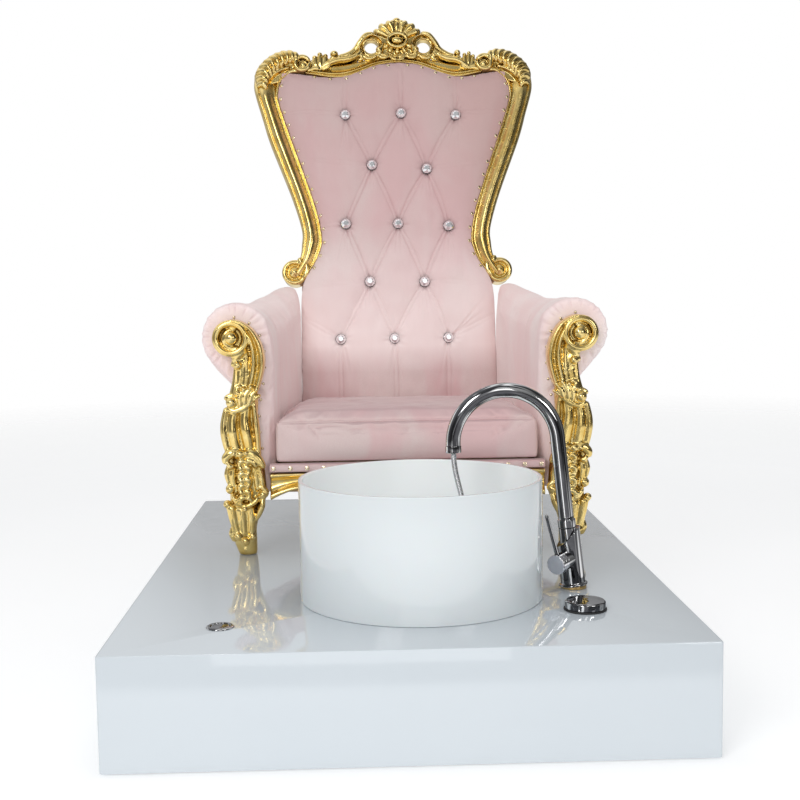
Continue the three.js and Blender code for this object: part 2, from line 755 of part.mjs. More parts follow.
// ---------------------------------------------------------------- back, in its own raked plane
// x across, z up the rake from the pivot line, y through the back with the front at the lower value.
const innerEdge = [
  [285, 805],
  [294, 778],
  [292, 744],
  [264, 657],
  [240, 588],
  [202, 471],
  [189, 400],
  [194, 366],
  [210, 331],
  [230, 300],
];
const outerEdge = [
  [250, 320],
  [241, 385],
  [239, 426],
  [262, 512],
  [312, 650],
  [330, 718],
  [356, 820],
  [348, 846],
  [329, 868],
  [303, 886],
  [270, 889],
  [226, 862],
];
const crestUnder = [[222, 820], [165, 811], [130, 813], [90, 827], [50, 842], [0, 848]];
const crestCrown = [[0, 975], [22, 970], [62, 946], [84, 918]];
const crestTail = [[103, 897], [125, 880], [148, 873], [190, 887], [205, 868], [222, 860]];
const crestOver = [...crestCrown, ...crestTail];
const scroll = { x: 259, z: 312, r: 32 };

function backRail() {
  const outline = [...smooth(innerEdge, 18), ...smooth(outerEdge, 22), [226, 822], [262, 826]];
  const rail = slab(outline, BACK.frameFront, BACK.frameRear, 5);
  const { x, z, r } = scroll;
  const boss = rod([x, BACK.frameFront - 8, z], [x, BACK.frameRear, z], r, 20);
  const padSide = [[0, 200], [180, 200], [212, 296], [180, 380], [0, 380]];
  const padRoom = slab(padSide, BACK.frameFront - 20, BACK.frameRear + 3);
  return join(rail, boss).subtract(padRoom);
}

// The carver set the crest's middle a little to the right of the chair's; the ends stay on the rails.
function offCentre([x, z]) {
  const { shift, from, taper } = CREST;
  return [x + shift * THREE.MathUtils.clamp((from - Math.abs(x)) / taper, 0, 1), z];
}

function crestRail() {
  const half = [...smooth(crestUnder, 10).reverse(), ...smooth(crestOver, 20).reverse()];
  const outline = [...half, ...mirrored(half).slice(1, -1)].map(offCentre);
  const { eyeX, eyeZ, eyeR, shift } = CREST;
  const eye = (x) => rod([x, BACK.frameFront - 10, eyeZ], [x, BACK.frameRear + 10, eyeZ], eyeR, 10);
  const board = slab(outline, BACK.frameFront, BACK.frameRear - 6, 5);
  const oval = new THREE.SphereGeometry(1, 10, 6).scale(26, 12, 19);
  const cabochon = solid(oval, at(shift, BACK.frameFront, 908));
  return join(board, cabochon).subtract(eye(eyeX + shift)).subtract(eye(shift - eyeX));
}

// Hand-set tufting buttons, [x, z] in rows from the top.
const buttonRows = [
  [[-125, 707], [16, 710], [154, 704]],
  [[-60, 578], [78, 567]],
  [[-128, 429], [3, 428], [130, 421]],
  [[-70, 282], [67, 280]],
  [[-145, 138], [-11, 138], [124, 138]],
];
const PAD = { front: -42, rear: 15, bottom: -74 };

// The padded outline inside the frame, drawn in by a clearance.
function padOutline(inset) {
  const top = smooth(crestUnder, 10).map(([x, z]) => [x, z - inset]);
  const side = smooth(innerEdge, 16).map(([x, z]) => [x - inset, z]);
  const low = [[241 - inset, 268], [243 - inset, PAD.bottom + 16], [231 - inset, PAD.bottom]];
  const right = [...top.reverse(), [262 - inset, 824 - inset], ...side, ...low];
  const underCrest = ([x, z]) => (z > 790 ? offCentre([x, z]) : [x, z]);
  return [...right, ...mirrored(right).slice(0, -1)].map(underCrest);
}

function backCushion() {
  const pad = slab(padOutline(4), PAD.front, PAD.rear, 9);
  const pockets = buttonRows.flat().map(([x, z]) => {
    const pocket = rod([x, PAD.front - 2, z], [x, PAD.front + 17, z], 15.5, 7);
    return pocket.add(rod([x, PAD.front, z], [x, PAD.rear + 2, z], 4, 5));
  });
  return pad.subtract(join(...pockets));
}

function crystalButton() {
  const profile = [[0, -15], [3, -15], [3, 38], [12, 39.5], [13.2, 43], [6, 49], [0, 49.5]];
  return turned(profile, 8).rotate([90, 0, 0]);
}

function backBoard() {
  const side = smooth(innerEdge.map(([x, z]) => [x - 14, z]), 12);
  const right = [[0, 830], [60, 822], [130, 796], [200, 798], [262, 800], ...side, [190, 260], [188, -100]];
  return slab([...right, ...mirrored(right).slice(0, -1)], PAD.rear + 1, PAD.rear + 15);
}

function outerBackPanel() {
  const waist = [[238, 30], [240, 240], [232, 340], [226, 426], [246, 500], [288, 620], [312, 700]];
  const head = [[334, 800], [322, 850], [290, 868], [230, 856], [160, 852], [80, 868], [0, 876]];
  const edge = smooth([...waist, ...head], 24);
  const right = [[186, -160], [186, 3], [238, 3], ...edge];
  return slab([...right, ...mirrored(right).slice(1)], BACK.frameRear + 1, BACK.frameRear + 14);
}

function buildBack() {
  const group = new THREE.Group();
  group.position.set(0, BACK.pivotY, BACK.pivotZ);
  group.rotation.x = rad(-RAKE_DEG);
  piece(group, "back_rail_right", backRail(), GOLD);
  piece(group, "back_rail_left", flipX(backRail()), GOLD);
  piece(group, "crest_rail", crestRail(), GOLD);
  piece(group, "back_cushion", backCushion(), VELVET);
  piece(group, "back_board", backBoard(), PLY);
  piece(group, "outer_back_panel", outerBackPanel(), VELVET);
  buttonRows.forEach((spots, row) =>
    spots.forEach(([x, z], column) => {
      const button = piece(group, `crystal_button_${row + 1}_${column + 1}`, crystalButton(), CRYSTAL);
      button.position.set(x, PAD.front + 41, z);
    }),
  );
  return group;
}

function buildChair() {
  const group = new THREE.Group();
  group.position.set(CHAIR_X, 0, DECK_Z);
  const post = frontPost();
  const leg = rearLeg();
  const arm = armPad();
  for (const [name, shape, look] of [
    ["front_post_right", post, GOLD],
    ["front_post_left", flipX(post), GOLD],
    ["rear_leg_right", leg, GOLD],
    ["rear_leg_left", flipX(leg), GOLD],
    ["arm_right", arm, VELVET],
    ["arm_left", flipX(arm), VELVET],
    ["seat_frame", seatFrame(), TIMBER],
    ["seat_deck", seatDeck(), PLY],
    ["seat_cushion", seatCushion(), VELVET],
    ["front_apron", frontApron(), GOLD],
    ["front_rail_cover", frontRailCover(), VELVET],
  ])
    piece(group, name, shape, look);
  group.add(buildBack());
  return group;
}

part.add(buildPlatform(), buildDrain(), buildDeckControls(), buildFaucet(), buildChair());

export default part;
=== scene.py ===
"""The looks of a pedicure spa chair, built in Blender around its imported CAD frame.

Shapes are written in millimetres. Chair pieces are drawn from the chair's middle, the deck and the
seat front; back pieces are drawn in the raked plane of the back: x across, z up the rake, y through.
"""

import json
import math

import bpy
import numpy as np
from mathutils import Matrix, Vector


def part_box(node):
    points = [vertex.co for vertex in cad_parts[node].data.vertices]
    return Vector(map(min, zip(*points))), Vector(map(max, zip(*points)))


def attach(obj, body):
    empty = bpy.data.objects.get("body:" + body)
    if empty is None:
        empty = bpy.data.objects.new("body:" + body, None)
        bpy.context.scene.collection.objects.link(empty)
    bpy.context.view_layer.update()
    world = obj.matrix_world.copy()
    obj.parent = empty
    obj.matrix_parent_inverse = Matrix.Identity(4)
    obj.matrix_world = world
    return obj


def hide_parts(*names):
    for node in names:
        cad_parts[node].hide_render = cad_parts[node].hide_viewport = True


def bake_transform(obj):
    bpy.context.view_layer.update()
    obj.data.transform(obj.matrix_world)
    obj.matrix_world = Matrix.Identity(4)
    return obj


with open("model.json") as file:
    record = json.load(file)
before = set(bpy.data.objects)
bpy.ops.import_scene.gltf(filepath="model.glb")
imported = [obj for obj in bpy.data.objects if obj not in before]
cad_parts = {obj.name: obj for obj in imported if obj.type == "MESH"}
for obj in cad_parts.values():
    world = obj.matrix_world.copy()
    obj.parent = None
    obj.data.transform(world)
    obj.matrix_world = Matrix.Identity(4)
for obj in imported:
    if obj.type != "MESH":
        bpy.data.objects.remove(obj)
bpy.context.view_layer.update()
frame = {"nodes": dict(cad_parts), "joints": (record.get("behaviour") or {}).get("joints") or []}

MM = 0.001
rng = np.random.default_rng(11)


# ---------------------------------------------------------------- places, read from the frame
def joint(name):
    return next(j for j in frame["joints"] if j["name"] == name)


def middle(node):
    low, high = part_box(node)
    return (low + high) / 2


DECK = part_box("platform_shell")[1].z
CHAIR_X = (middle("front_post_left").x + middle("front_post_right").x) / 2
RAKE = math.radians(9)
BACK_PIVOT = (475, 300)

CHAIR = Matrix.Translation((CHAIR_X, 0, DECK))
BACK = CHAIR @ Matrix.Translation((0, BACK_PIVOT[0] * MM, BACK_PIVOT[1] * MM)) @ Matrix.Rotation(-RAKE, 4, "X")
FAUCET = (
    Matrix.Translation(joint("spout_swivel")["pos_m"])
    @ Vector((0, 0, 1)).rotation_difference(Vector(joint("spout_swivel")["axis"])).to_matrix().to_4x4()
)


def standing(node):
    """A frame that stands on the deck at a node's middle."""
    spot = middle(node)
    return Matrix.Translation((spot.x, spot.y, DECK))


# ---------------------------------------------------------------- mesh helpers
def make(name, verts, faces, place, smooth=True):
    """A mesh object from points in millimetres, put in the row frame."""
    mesh = bpy.data.meshes.new(name)
    points = np.asarray(verts, float) * MM
    mesh.from_pydata(points.tolist(), [], [list(map(int, f)) for f in faces])
    mesh.transform(place)
    mesh.validate()
    mesh.polygons.foreach_set("use_smooth", [smooth] * len(mesh.polygons))
    obj = bpy.data.objects.new(name, mesh)
    bpy.context.scene.collection.objects.link(obj)
    return obj


def bake(obj):
    """Applies an object's modifiers."""
    graph = bpy.context.evaluated_depsgraph_get()
    mesh = bpy.data.meshes.new_from_object(obj.evaluated_get(graph))
    obj.modifiers.clear()
    obj.data = mesh
    return obj


def finish_piece(obj, body, material, slot, *nodes):
    obj.data.materials.clear()
    obj.data.materials.append(material)
    if nodes:
        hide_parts(*nodes)
    if body:
        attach(obj, body)
    return obj


def curve_through(points, count):
    """Evenly timed points on a Catmull-Rom curve through the given points."""
    pts = np.asarray(points, float)
    pts = np.vstack([2 * pts[0] - pts[1], pts, 2 * pts[-1] - pts[-2]])
    t = np.linspace(0, len(pts) - 3 - 1e-9, count)
    i = t.astype(int)
    u = (t - i)[:, None]
    p0, p1, p2, p3 = pts[i], pts[i + 1], pts[i + 2], pts[i + 3]
    return 0.5 * (
        2 * p1
        + (p2 - p0) * u
        + (2 * p0 - 5 * p1 + 4 * p2 - p3) * u**2
        + (3 * p1 - p0 - 3 * p2 + p3) * u**3
    )


def even(points, count):
    """The same curve with points at equal distances."""
    fine = curve_through(points, 40 * len(points))
    reach = np.concatenate([[0], np.cumsum(np.linalg.norm(np.diff(fine, axis=0), axis=1))])
    wanted = np.linspace(0, reach[-1], count)
    return np.column_stack([np.interp(wanted, reach, fine[:, k]) for k in range(fine.shape[1])])


def ring_faces(rings, size, closed=False):
    """Quads between rings of equal size, with flat ends unless the rings close on themselves."""
    faces = []
    for r in range(rings if closed else rings - 1):
        a, b = r * size, ((r + 1) % rings) * size
        faces += [(a + i, a + (i + 1) % size, b + (i + 1) % size, b + i) for i in range(size)]
    if not closed:
        faces.append(tuple(range(size))[::-1])
        faces.append(tuple((rings - 1) * size + i for i in range(size)))
    return faces


def turned(profile, segments=96):
    """Points and faces of a piece turned about +Z from [radius, z] pairs; a zero radius is a pole."""
    verts, faces, rows = [], [], []
    turn = np.linspace(0, 2 * math.pi, segments, endpoint=False)
    for r, z in profile:
        if r < 1e-6:
            rows.append([len(verts)] * segments)
            verts.append((0, 0, z))
        else:
            rows.append(list(range(len(verts), len(verts) + segments)))
            verts += [(r * math.cos(a), r * math.sin(a), z) for a in turn]
    for low, high in zip(rows, rows[1:]):
        for i in range(segments):
            j = (i + 1) % segments
            face = list(dict.fromkeys((low[i], low[j], high[j], high[i])))
            if len(face) > 2:
                faces.append(face)
    return verts, faces


def rounded(profile, radius=1.0, steps=4):
    """The profile with each inner corner rounded."""
    pts = [np.array(p, float) for p in profile]
    out = [pts[0]]
    for a, b, c in zip(pts, pts[1:], pts[2:]):
        back, on = a - b, c - b
        reach = min(radius, np.linalg.norm(back) * 0.45, np.linalg.norm(on) * 0.45)
        start = b + back / np.linalg.norm(back) * reach
        end = b + on / np.linalg.norm(on) * reach
        for t in np.linspace(0, 1, steps + 1):
            out.append((1 - t) ** 2 * start + 2 * t * (1 - t) * b + t**2 * end)
    return out + [pts[-1]]


def tube(path, radius, sides=24):
    """Points and faces of a round tube; the radius may differ along the path."""
    path = np.asarray(path, float)
    radii = np.broadcast_to(radius, len(path))
    along = np.gradient(path, axis=0)
    along /= np.linalg.norm(along, axis=1)[:, None]
    side = np.cross(along[0], (0, 1, 0) if abs(along[0][1]) < 0.9 else (1, 0, 0))
    verts = []
    for p, t, r in zip(path, along, radii):
        side = side - t * (side @ t)
        side /= np.linalg.norm(side)
        up = np.cross(t, side)
        for a in np.linspace(0, 2 * math.pi, sides, endpoint=False):
            verts.append(p + r * (math.cos(a) * side + math.sin(a) * up))
    return verts, ring_faces(len(path), sides)


def shift(part, offset):
    verts, faces = part
    return [np.asarray(v, float) + offset for v in verts], faces


def gather(*parts):
    """Several (points, faces) as one."""
    verts, faces = [], []
    for more, its_faces in parts:
        base = len(verts)
        verts += list(more)
        faces += [[i + base for i in f] for f in its_faces]
    return verts, faces


def ball(centre, radii, rings=10, sides=16):
    profile = [(math.sin(a), -math.cos(a)) for a in np.linspace(0, math.pi, rings)]
    profile[0], profile[-1] = (0, -1), (0, 1)
    verts, faces = turned(profile, sides)
    return [np.array(v) * radii + centre for v in verts], faces


# ---------------------------------------------------------------- carving
FRONT = np.array((0.0, -1.0, 0.0))


PLUMP = 1.28


class Carving:
    """Overlapping solid strokes in front of a plane, fused into one carved piece."""

    def __init__(self):
        self.parts = []

    def add(self, part):
        self.parts.append(part)

    def stroke(self, points, widths, depths=None, count=24, sides=12):
        """A tapering stroke along a curve; widths lie in the plane and depths towards the viewer."""
        path = curve_through(points, count)
        share = np.linspace(0, 1, count)
        spread = lambda sizes: np.interp(share, np.linspace(0, 1, len(sizes)), sizes)
        width = spread(widths)
        depth = spread(depths) if depths is not None else width
        along = np.gradient(path, axis=0)
        along /= np.linalg.norm(along, axis=1)[:, None]
        tip = np.sqrt(np.clip(1 - (1 - np.clip(share * count / 3, 0, 1)) ** 2, 0.04, 1))
        ends = np.minimum(tip, tip[::-1])
        rings = []
        for p, t, w, d in zip(path, along, PLUMP * width * ends, depth * ends):
            across = np.cross(t, FRONT)
            across /= np.linalg.norm(across) + 1e-9
            out = np.cross(across, t)
            for a in np.linspace(0, 2 * math.pi, sides, endpoint=False):
                rings.append(p + w * math.cos(a) * across + d * math.sin(a) * out)
        self.add((rings, ring_faces(count, sides)))

    def flat(self, points, y, widths, depths=None, count=24):
        """A stroke whose points are given as [x, z] at one depth."""
        self.stroke([(x, y, z) for x, z in points], widths, depths, count)

    def ball(self, x, y, z, radius, depth=None):
        self.add(ball((x, y, z), (radius, depth or radius, radius)))

    def sweep(self, inner, outer, profile, rear, count=90, sink=0.0):
        """A moulding between two edges. The profile is [share of the width, height] from inner to outer.
        Over the last share of its length given by sink it dips under whatever covers its end."""
        inside, outside = even(inner, count), even(outer, count)
        shape = curve_through(profile, 40)
        rings = []
        for k, (a, b) in enumerate(zip(inside, outside)):
            left = min(1.0, (1 - k / (count - 1)) / sink) if sink else 1.0
            drop = 26 * (1 - left * left * (3 - 2 * left))
            for share, height in shape:
                x, z = a + (b - a) * share
                rings.append((x, drop * min(1.0, share / 0.2) ** 2 - height, z))
            rings.append((b[0], rear, b[1]))
            rings.append((a[0], rear, a[1]))
        self.add((rings, ring_faces(count, len(shape) + 2)))

    def slab(self, outline, y0, y1):
        """A flat board with the given [x, z] outline."""
        size = len(outline)
        verts = [(x, y, z) for y in (y0, y1) for x, z in outline]
        self.add((verts, ring_faces(2, size)))

    def spiral(self, x, z, y, radius, turns, start, width, depth, shrink=0.25, hand=1):
        """A volute that winds in from a start angle in degrees."""
        a = np.linspace(0, 1, 40)
        angle = math.radians(start) + hand * a * turns * 2 * math.pi
        r = radius * (1 - (1 - shrink) * a)
        path = np.column_stack([x + r * np.cos(angle), np.full(40, y) - 4 * a, z + r * np.sin(angle)])
        self.stroke(path[::3], [width, width * 0.55], [depth, depth * 0.7], count=44)

    def leaf(self, root, tip, width, y, lobes=3, depth=6, curl=6):
        """An acanthus leaf: a midrib with lobes that curl out on both sides."""
        root, tip = np.array(root, float), np.array(tip, float)
        run = tip - root
        side = np.array((-run[1], run[0])) / (np.linalg.norm(run) + 1e-9)
        self.flat([root, root + run * 0.5, tip], y - 2, [width * 0.3, width * 0.24, 2], [depth, depth, 3], 14)
        for k in range(lobes):
            start = root + run * (0.08 + 0.72 * k / lobes)
            size = width * (1 - 0.5 * k / lobes)
            for hand in (-1, 1):
                bend = start + run * 0.16 + side * hand * size * 0.6
                end = start + run * 0.26 + side * hand * size + side * hand * 0.2 * curl
                self.flat([start, bend, end], y, [size * 0.2, size * 0.24, size * 0.1], [depth, depth * 0.9, 2], 10)

    def plain(self, name, place, mirror=False):
        """The strokes as they are, each a skin of its own."""
        verts, faces = gather(*self.parts)
        if mirror:
            verts = [np.asarray(v) * (-1, 1, 1) for v in verts]
        obj = make(name, verts, faces, place)
        outward(obj)
        return crisp(obj, 0, 60)

    def build(self, name, place, voxel=1.9, mirror=False, relax=5):
        """The strokes fused into one skin."""
        verts, faces = gather(*self.parts)
        if mirror:
            verts = [np.asarray(v) * (-1, 1, 1) for v in verts]
        return fuse(make(name, verts, faces, place), voxel, relax)


def outward(obj):
    """Turns every closed shell of a mesh so that its faces point out."""
    import bmesh

    bm = bmesh.new()
    bm.from_mesh(obj.data)
    bmesh.ops.recalc_face_normals(bm, faces=bm.faces)
    bm.to_mesh(obj.data)
    bm.free()


def fuse(obj, voxel, relax=2):
    """Joins overlapping shells into one skin and softens its edges a little."""
    outward(obj)
    remesh = obj.modifiers.new("fuse", "REMESH")
    remesh.mode = "VOXEL"
    remesh.voxel_size = voxel * MM
    remesh.use_smooth_shade = True
    if relax:
        soften = obj.modifiers.new("soften", "SMOOTH")
        soften.factor = 0.5
        soften.iterations = relax
    return bake(obj)


# ---------------------------------------------------------------- material helpers
class Shader:
    """A node tree with a few short ways to fill it."""

    def __init__(self, name):
        self.material = bpy.data.materials.new(name)
        self.material.use_nodes = True
        self.tree = self.material.node_tree
        self.skin = self.tree.nodes["Principled BSDF"]
        self.coords = self.tree.nodes.new("ShaderNodeTexCoord").outputs["Object"]

    def node(self, kind, **inputs):
        made = self.tree.nodes.new("ShaderNode" + kind)
        for key, value in inputs.items():
            if key in made.bl_rna.properties:
                setattr(made, key, value)
            else:
                self.put(made.inputs[key.replace("_", " ")], value)
        return made

    def put(self, socket, value):
        if isinstance(value, bpy.types.NodeSocket):
            self.tree.links.new(value, socket)
        else:
            socket.default_value = value

    def set(self, **values):
        for key, value in values.items():
            self.put(self.skin.inputs[key.replace("_", " ")], value)
        return self

    def noise(self, scale, detail=4.0, rough=0.55, distortion=0.0, vector=None):
        made = self.node("TexNoise", Scale=scale, Detail=detail, Roughness=rough, Distortion=distortion)
        self.put(made.inputs["Vector"], vector or self.coords)
        return made.outputs["Fac"]

    def stretched(self, x, y, z):
        made = self.node("Mapping")
        self.put(made.inputs["Vector"], self.coords)
        made.inputs["Scale"].default_value = (x, y, z)
        return made.outputs["Vector"]

    def ramp(self, value, *stops):
        made = self.node("ValToRGB")
        self.put(made.inputs["Fac"], value)
        made.color_ramp.elements.remove(made.color_ramp.elements[0])
        first = made.color_ramp.elements[0]
        first.position, first.color = stops[0][0], as_colour(stops[0][1])
        for position, colour in stops[1:]:
            made.color_ramp.elements.new(position).color = as_colour(colour)
        return made.outputs["Color"]

    def spread(self, value, low, high, to_low, to_high):
        made = self.node("MapRange")
        self.put(made.inputs["Value"], value)
        for key, number in (("From Min", low), ("From Max", high), ("To Min", to_low), ("To Max", to_high)):
            made.inputs[key].default_value = number
        return made.outputs["Result"]

    def mix(self, share, a, b, blend="MIX"):
        made = self.node("MixRGB", blend_type=blend)
        self.put(made.inputs["Fac"], share)
        self.put(made.inputs["Color1"], as_colour(a))
        self.put(made.inputs["Color2"], as_colour(b))
        return made.outputs["Color"]

    def bump(self, height, strength, distance, under=None):
        made = self.node("Bump", Strength=strength, Distance=distance)
        self.put(made.inputs["Height"], height)
        if under is not None:
            self.put(made.inputs["Normal"], under)
        self.put(self.skin.inputs["Normal"], made.outputs["Normal"])
        return made.outputs["Normal"]

    def edges(self, low=0.44, high=0.56):
        """0 in hollows and 1 on ridges."""
        pointed = self.tree.nodes.new("ShaderNodeNewGeometry").outputs["Pointiness"]
        return self.spread(pointed, low, high, 0, 1)


def as_colour(value):
    if isinstance(value, bpy.types.NodeSocket):
        return value
    if isinstance(value, (int, float)):
        return (value, value, value, 1)
    return (*value[:3], 1)


# ---------------------------------------------------------------- materials
def gold_leaf(name, crevice_shade, rough, hollow_shade_and_highlight=1.0):
    """Burnished leaf with a painted highlight on the ridges and painted brown shade in the hollows and crevices, where
    some size also shows through.
    """
    s = Shader(name)
    ridge = s.edges(0.40, 0.58)
    open_air = s.node("AmbientOcclusion", samples=8, Distance=0.016).outputs["AO"]
    cloud = s.noise(38, 4)
    gold = s.mix(s.spread(cloud, 0.35, 0.65, 0, 1), (0.78, 0.55, 0.17), (0.92, 0.72, 0.30))
    # Browner in the hollows found by pointiness: partly size showing through, partly painted shade.
    size_and_hollow_shade = s.mix(s.spread(ridge, 0.10, 0.40, 0.4 * hollow_shade_and_highlight, 0), gold, (0.28, 0.175, 0.035))
    # Painted shade: dark brown where ambient occlusion finds crevices between the carved parts.
    crevice_shaded = s.mix(s.spread(open_air, 0.18, 0.64, crevice_shade, 0), size_and_hollow_shade, (0.17, 0.10, 0.018))
    # Painted highlight: pale yellow over the ridges.
    bright = s.mix(s.spread(ridge, 0.60, 1.0, 0, 0.5 * hollow_shade_and_highlight), crevice_shaded, (1.0, 0.88, 0.56))
    s.set(Base_Color=bright, Metallic=1.0)
    s.set(Roughness=s.spread(s.noise(70, 3), 0.3, 0.7, rough, rough + 0.09))
    s.bump(s.noise(55, 2), 0.10, 0.0018)
    return s.material


def velvet(name, deep, grey, without_painted_light=False):
    """Short pile whose nap lies unevenly, so that it is pinker in some places and greyer in others."""
    s = Shader(name)
    nap = s.noise(7, 3, 0.5, 0.8, s.stretched(1, 1, 0.45))
    cloth = s.mix(s.spread(nap, 0.38, 0.62, 0, 1), deep, grey)
    cloth = s.mix(s.spread(s.noise(420, 2), 0.3, 0.7, 0, 0.28), cloth, [c * 0.89 for c in deep])
    # Painted shade: the cloth darkens in its creases and hollows, found by pointiness.
    crease = s.edges(0.46, 0.5)
    cloth = s.mix(s.spread(crease, 0, 1, 0.3, 0), cloth, (0.52, 0.27, 0.28))
    # Painted light and shade by height, side and facing, left out of the copies made without it.
    if not without_painted_light:
        cloth = shaded_by_height(s, cloth)
    s.set(Base_Color=cloth, Roughness=0.92, Specular_IOR_Level=0.15)
    s.set(Sheen_Weight=0.5, Sheen_Roughness=0.4, Sheen_Tint=(1.0, 0.93, 0.91, 1))
    pile = s.bump(s.noise(1500, 2), 0.25, 0.0006)
    s.bump(s.noise(130, 3, 0.6), 0.10, 0.0015, pile)
    return s.material


def shaded_by_height(s, cloth):
    """Painted light and shade on the pile: painted light low on the back, painted shade towards its top, a painted
    shadow of the right rail along its right side, and the deepest painted shade on faces that look up.
    """
    place = s.node("SeparateXYZ")
    s.put(place.inputs[0], s.coords)
    height = place.outputs["Z"]
    # Painted light: paler low on the back, where the arms and seat shade it.
    low = s.node("Math", operation="MULTIPLY")
    s.put(low.inputs[0], s.spread(height, 0.555, 0.62, 0, 0.85))
    s.put(low.inputs[1], s.spread(height, 0.66, 0.92, 1, 0))
    cloth = s.mix(low.outputs[0], cloth, (1.0, 0.85, 0.83))
    # Painted shade: darker towards the top of the back.
    cloth = s.mix(s.spread(height, 0.82, 1.42, 0, 0.85), cloth, (0.50, 0.33, 0.32))
    # Painted shadow of the right rail on the cloth beside it.
    side = s.node("Math", operation="MULTIPLY")
    s.put(side.inputs[0], s.spread(place.outputs["X"], 0.10, 0.26, 0, 0.35))
    s.put(side.inputs[1], s.spread(height, 0.85, 1.05, 0, 1))
    cloth = s.mix(side.outputs[0], cloth, (0.47, 0.28, 0.25))
    # Painted shade on faces that look up, such as the seat's top.
    facing = s.node("SeparateXYZ")
    s.put(facing.inputs[0], s.tree.nodes.new("ShaderNodeNewGeometry").outputs["Normal"])
    return s.mix(s.spread(facing.outputs["Z"], 0.55, 0.95, 0, 0.58), cloth, (0.44, 0.29, 0.31))


def lacquer():
    s = Shader("white_lacquer")
    tone = s.mix(s.noise(3, 2), (0.60, 0.65, 0.69), (0.63, 0.675, 0.71))
    s.set(Base_Color=tone, Roughness=s.spread(s.noise(35, 4), 0.3, 0.7, 0.045, 0.085))
    s.set(Coat_Weight=0.5, Coat_Roughness=0.03, IOR=1.5)
    s.bump(s.noise(28, 2), 0.02, 0.002)
    return s.material


def acrylic():
    s = Shader("basin_acrylic")
    outside = s.mix(s.noise(5, 2), (0.70, 0.745, 0.76), (0.73, 0.77, 0.785))
    axis = s.node("Mapping")
    s.put(axis.inputs["Vector"], s.coords)
    axis.inputs["Scale"].default_value = (1, 1, 0)
    axis.inputs["Location"].default_value = (-middle("basin").x, -middle("basin").y, 0)
    reach = s.node("VectorMath", operation="LENGTH")
    s.put(reach.inputs[0], axis.outputs["Vector"])
    # Painted light: the inside of the bowl is painted much lighter than its outside.
    tone = s.mix(s.spread(reach.outputs["Value"], 0.2185, 0.2215, 1, 0), outside, (0.94, 0.965, 0.965))
    s.set(Base_Color=tone, Roughness=s.spread(s.noise(60, 3), 0.3, 0.7, 0.07, 0.12), Coat_Weight=0.35)
    s.set(Subsurface_Weight=0.06, Subsurface_Scale=0.01)
    s.bump(s.noise(22, 2), 0.03, 0.0015)
    return s.material


def chrome(name, dark, bright, threshold=0.5):
    """Polished plate whose colour holds a painted reflection: light and dark bands by the reflection direction for a
    furnished room, and dark on faces that look up for a dark ceiling.
    """
    s = Shader(name)
    mirrored = s.node("Mapping")
    s.put(mirrored.inputs["Vector"], s.tree.nodes.new("ShaderNodeTexCoord").outputs["Reflection"])
    mirrored.inputs["Scale"].default_value = (1.2, 0.9, 0.7)
    # Painted reflection: light and dark bands chosen by the reflection direction.
    painted_room_reflection = s.noise(1.5, 1.5, 0.5, 0.3, mirrored.outputs["Vector"])
    plate = s.mix(s.spread(painted_room_reflection, threshold - 0.05, threshold + 0.05, 0, 1), (dark, dark, dark * 1.08), (bright, bright, bright))
    facing = s.node("SeparateXYZ")
    s.put(facing.inputs[0], s.tree.nodes.new("ShaderNodeNewGeometry").outputs["Normal"])
    # Painted reflection of a dark ceiling on faces that look up.
    plate = s.mix(s.spread(facing.outputs["Z"], 0.86, 0.98, 0, 0.9), plate, (0.06, 0.06, 0.065))
    s.set(Base_Color=s.mix(s.spread(s.noise(40, 3), 0.3, 0.7, 0, 0.1), plate, (0.5, 0.5, 0.52)), Metallic=1.0)
    s.set(Roughness=s.spread(s.noise(90, 4), 0.3, 0.7, 0.03, 0.075))
    s.bump(s.noise(45, 2), 0.015, 0.001)
    return s.material


def hose_metal():
    s = Shader("flexible_metal")
    # Painted shade in the grooves between the ribs and painted highlight on their crests, found by pointiness.
    s.set(Base_Color=s.mix(s.edges(0.42, 0.58), (0.18, 0.18, 0.19), (0.78, 0.79, 0.81)), Metallic=1.0)
    s.set(Roughness=s.spread(s.noise(200, 3), 0.3, 0.7, 0.16, 0.28))
    return s.material


def brass():
    s = Shader("brass_fitting")
    s.set(Base_Color=s.mix(s.noise(60, 4), (0.55, 0.36, 0.14), (0.70, 0.50, 0.22)), Metallic=1.0)
    s.set(Roughness=s.spread(s.noise(240, 3), 0.3, 0.7, 0.25, 0.42))
    s.bump(s.noise(600, 2), 0.06, 0.0005)
    return s.material


def rubber():
    s = Shader("black_rubber")
    s.set(Base_Color=s.mix(s.noise(80, 4), (0.012, 0.012, 0.013), (0.035, 0.035, 0.036)))
    s.set(Roughness=s.spread(s.noise(150, 3), 0.3, 0.7, 0.5, 0.75))
    s.bump(s.noise(1200, 2), 0.15, 0.0004)
    return s.material


def plastic(name, dark, light, rough):
    s = Shader(name)
    s.set(Base_Color=s.mix(s.noise(30, 4), dark, light))
    s.set(Roughness=s.spread(s.noise(180, 3), 0.3, 0.7, rough - 0.06, rough + 0.06))
    s.bump(s.noise(1400, 2), 0.08, 0.0004)
    return s.material


def wood(name, dark, light, ring_scale):
    s = Shader(name)
    along = s.stretched(1, 0.06, 1)
    grain = s.noise(ring_scale, 6, 0.65, 0.8, along)
    pores = s.noise(ring_scale * 9, 3, 0.5, 0, s.stretched(1, 0.03, 1))
    tone = s.mix(s.spread(grain, 0.35, 0.65, 0, 1), dark, light)
    s.set(Base_Color=s.mix(s.spread(pores, 0.55, 0.75, 0, 0.5), tone, [c * 0.55 for c in dark]))
    s.set(Roughness=s.spread(grain, 0.3, 0.7, 0.55, 0.75))
    s.bump(pores, 0.2, 0.0006)
    return s.material


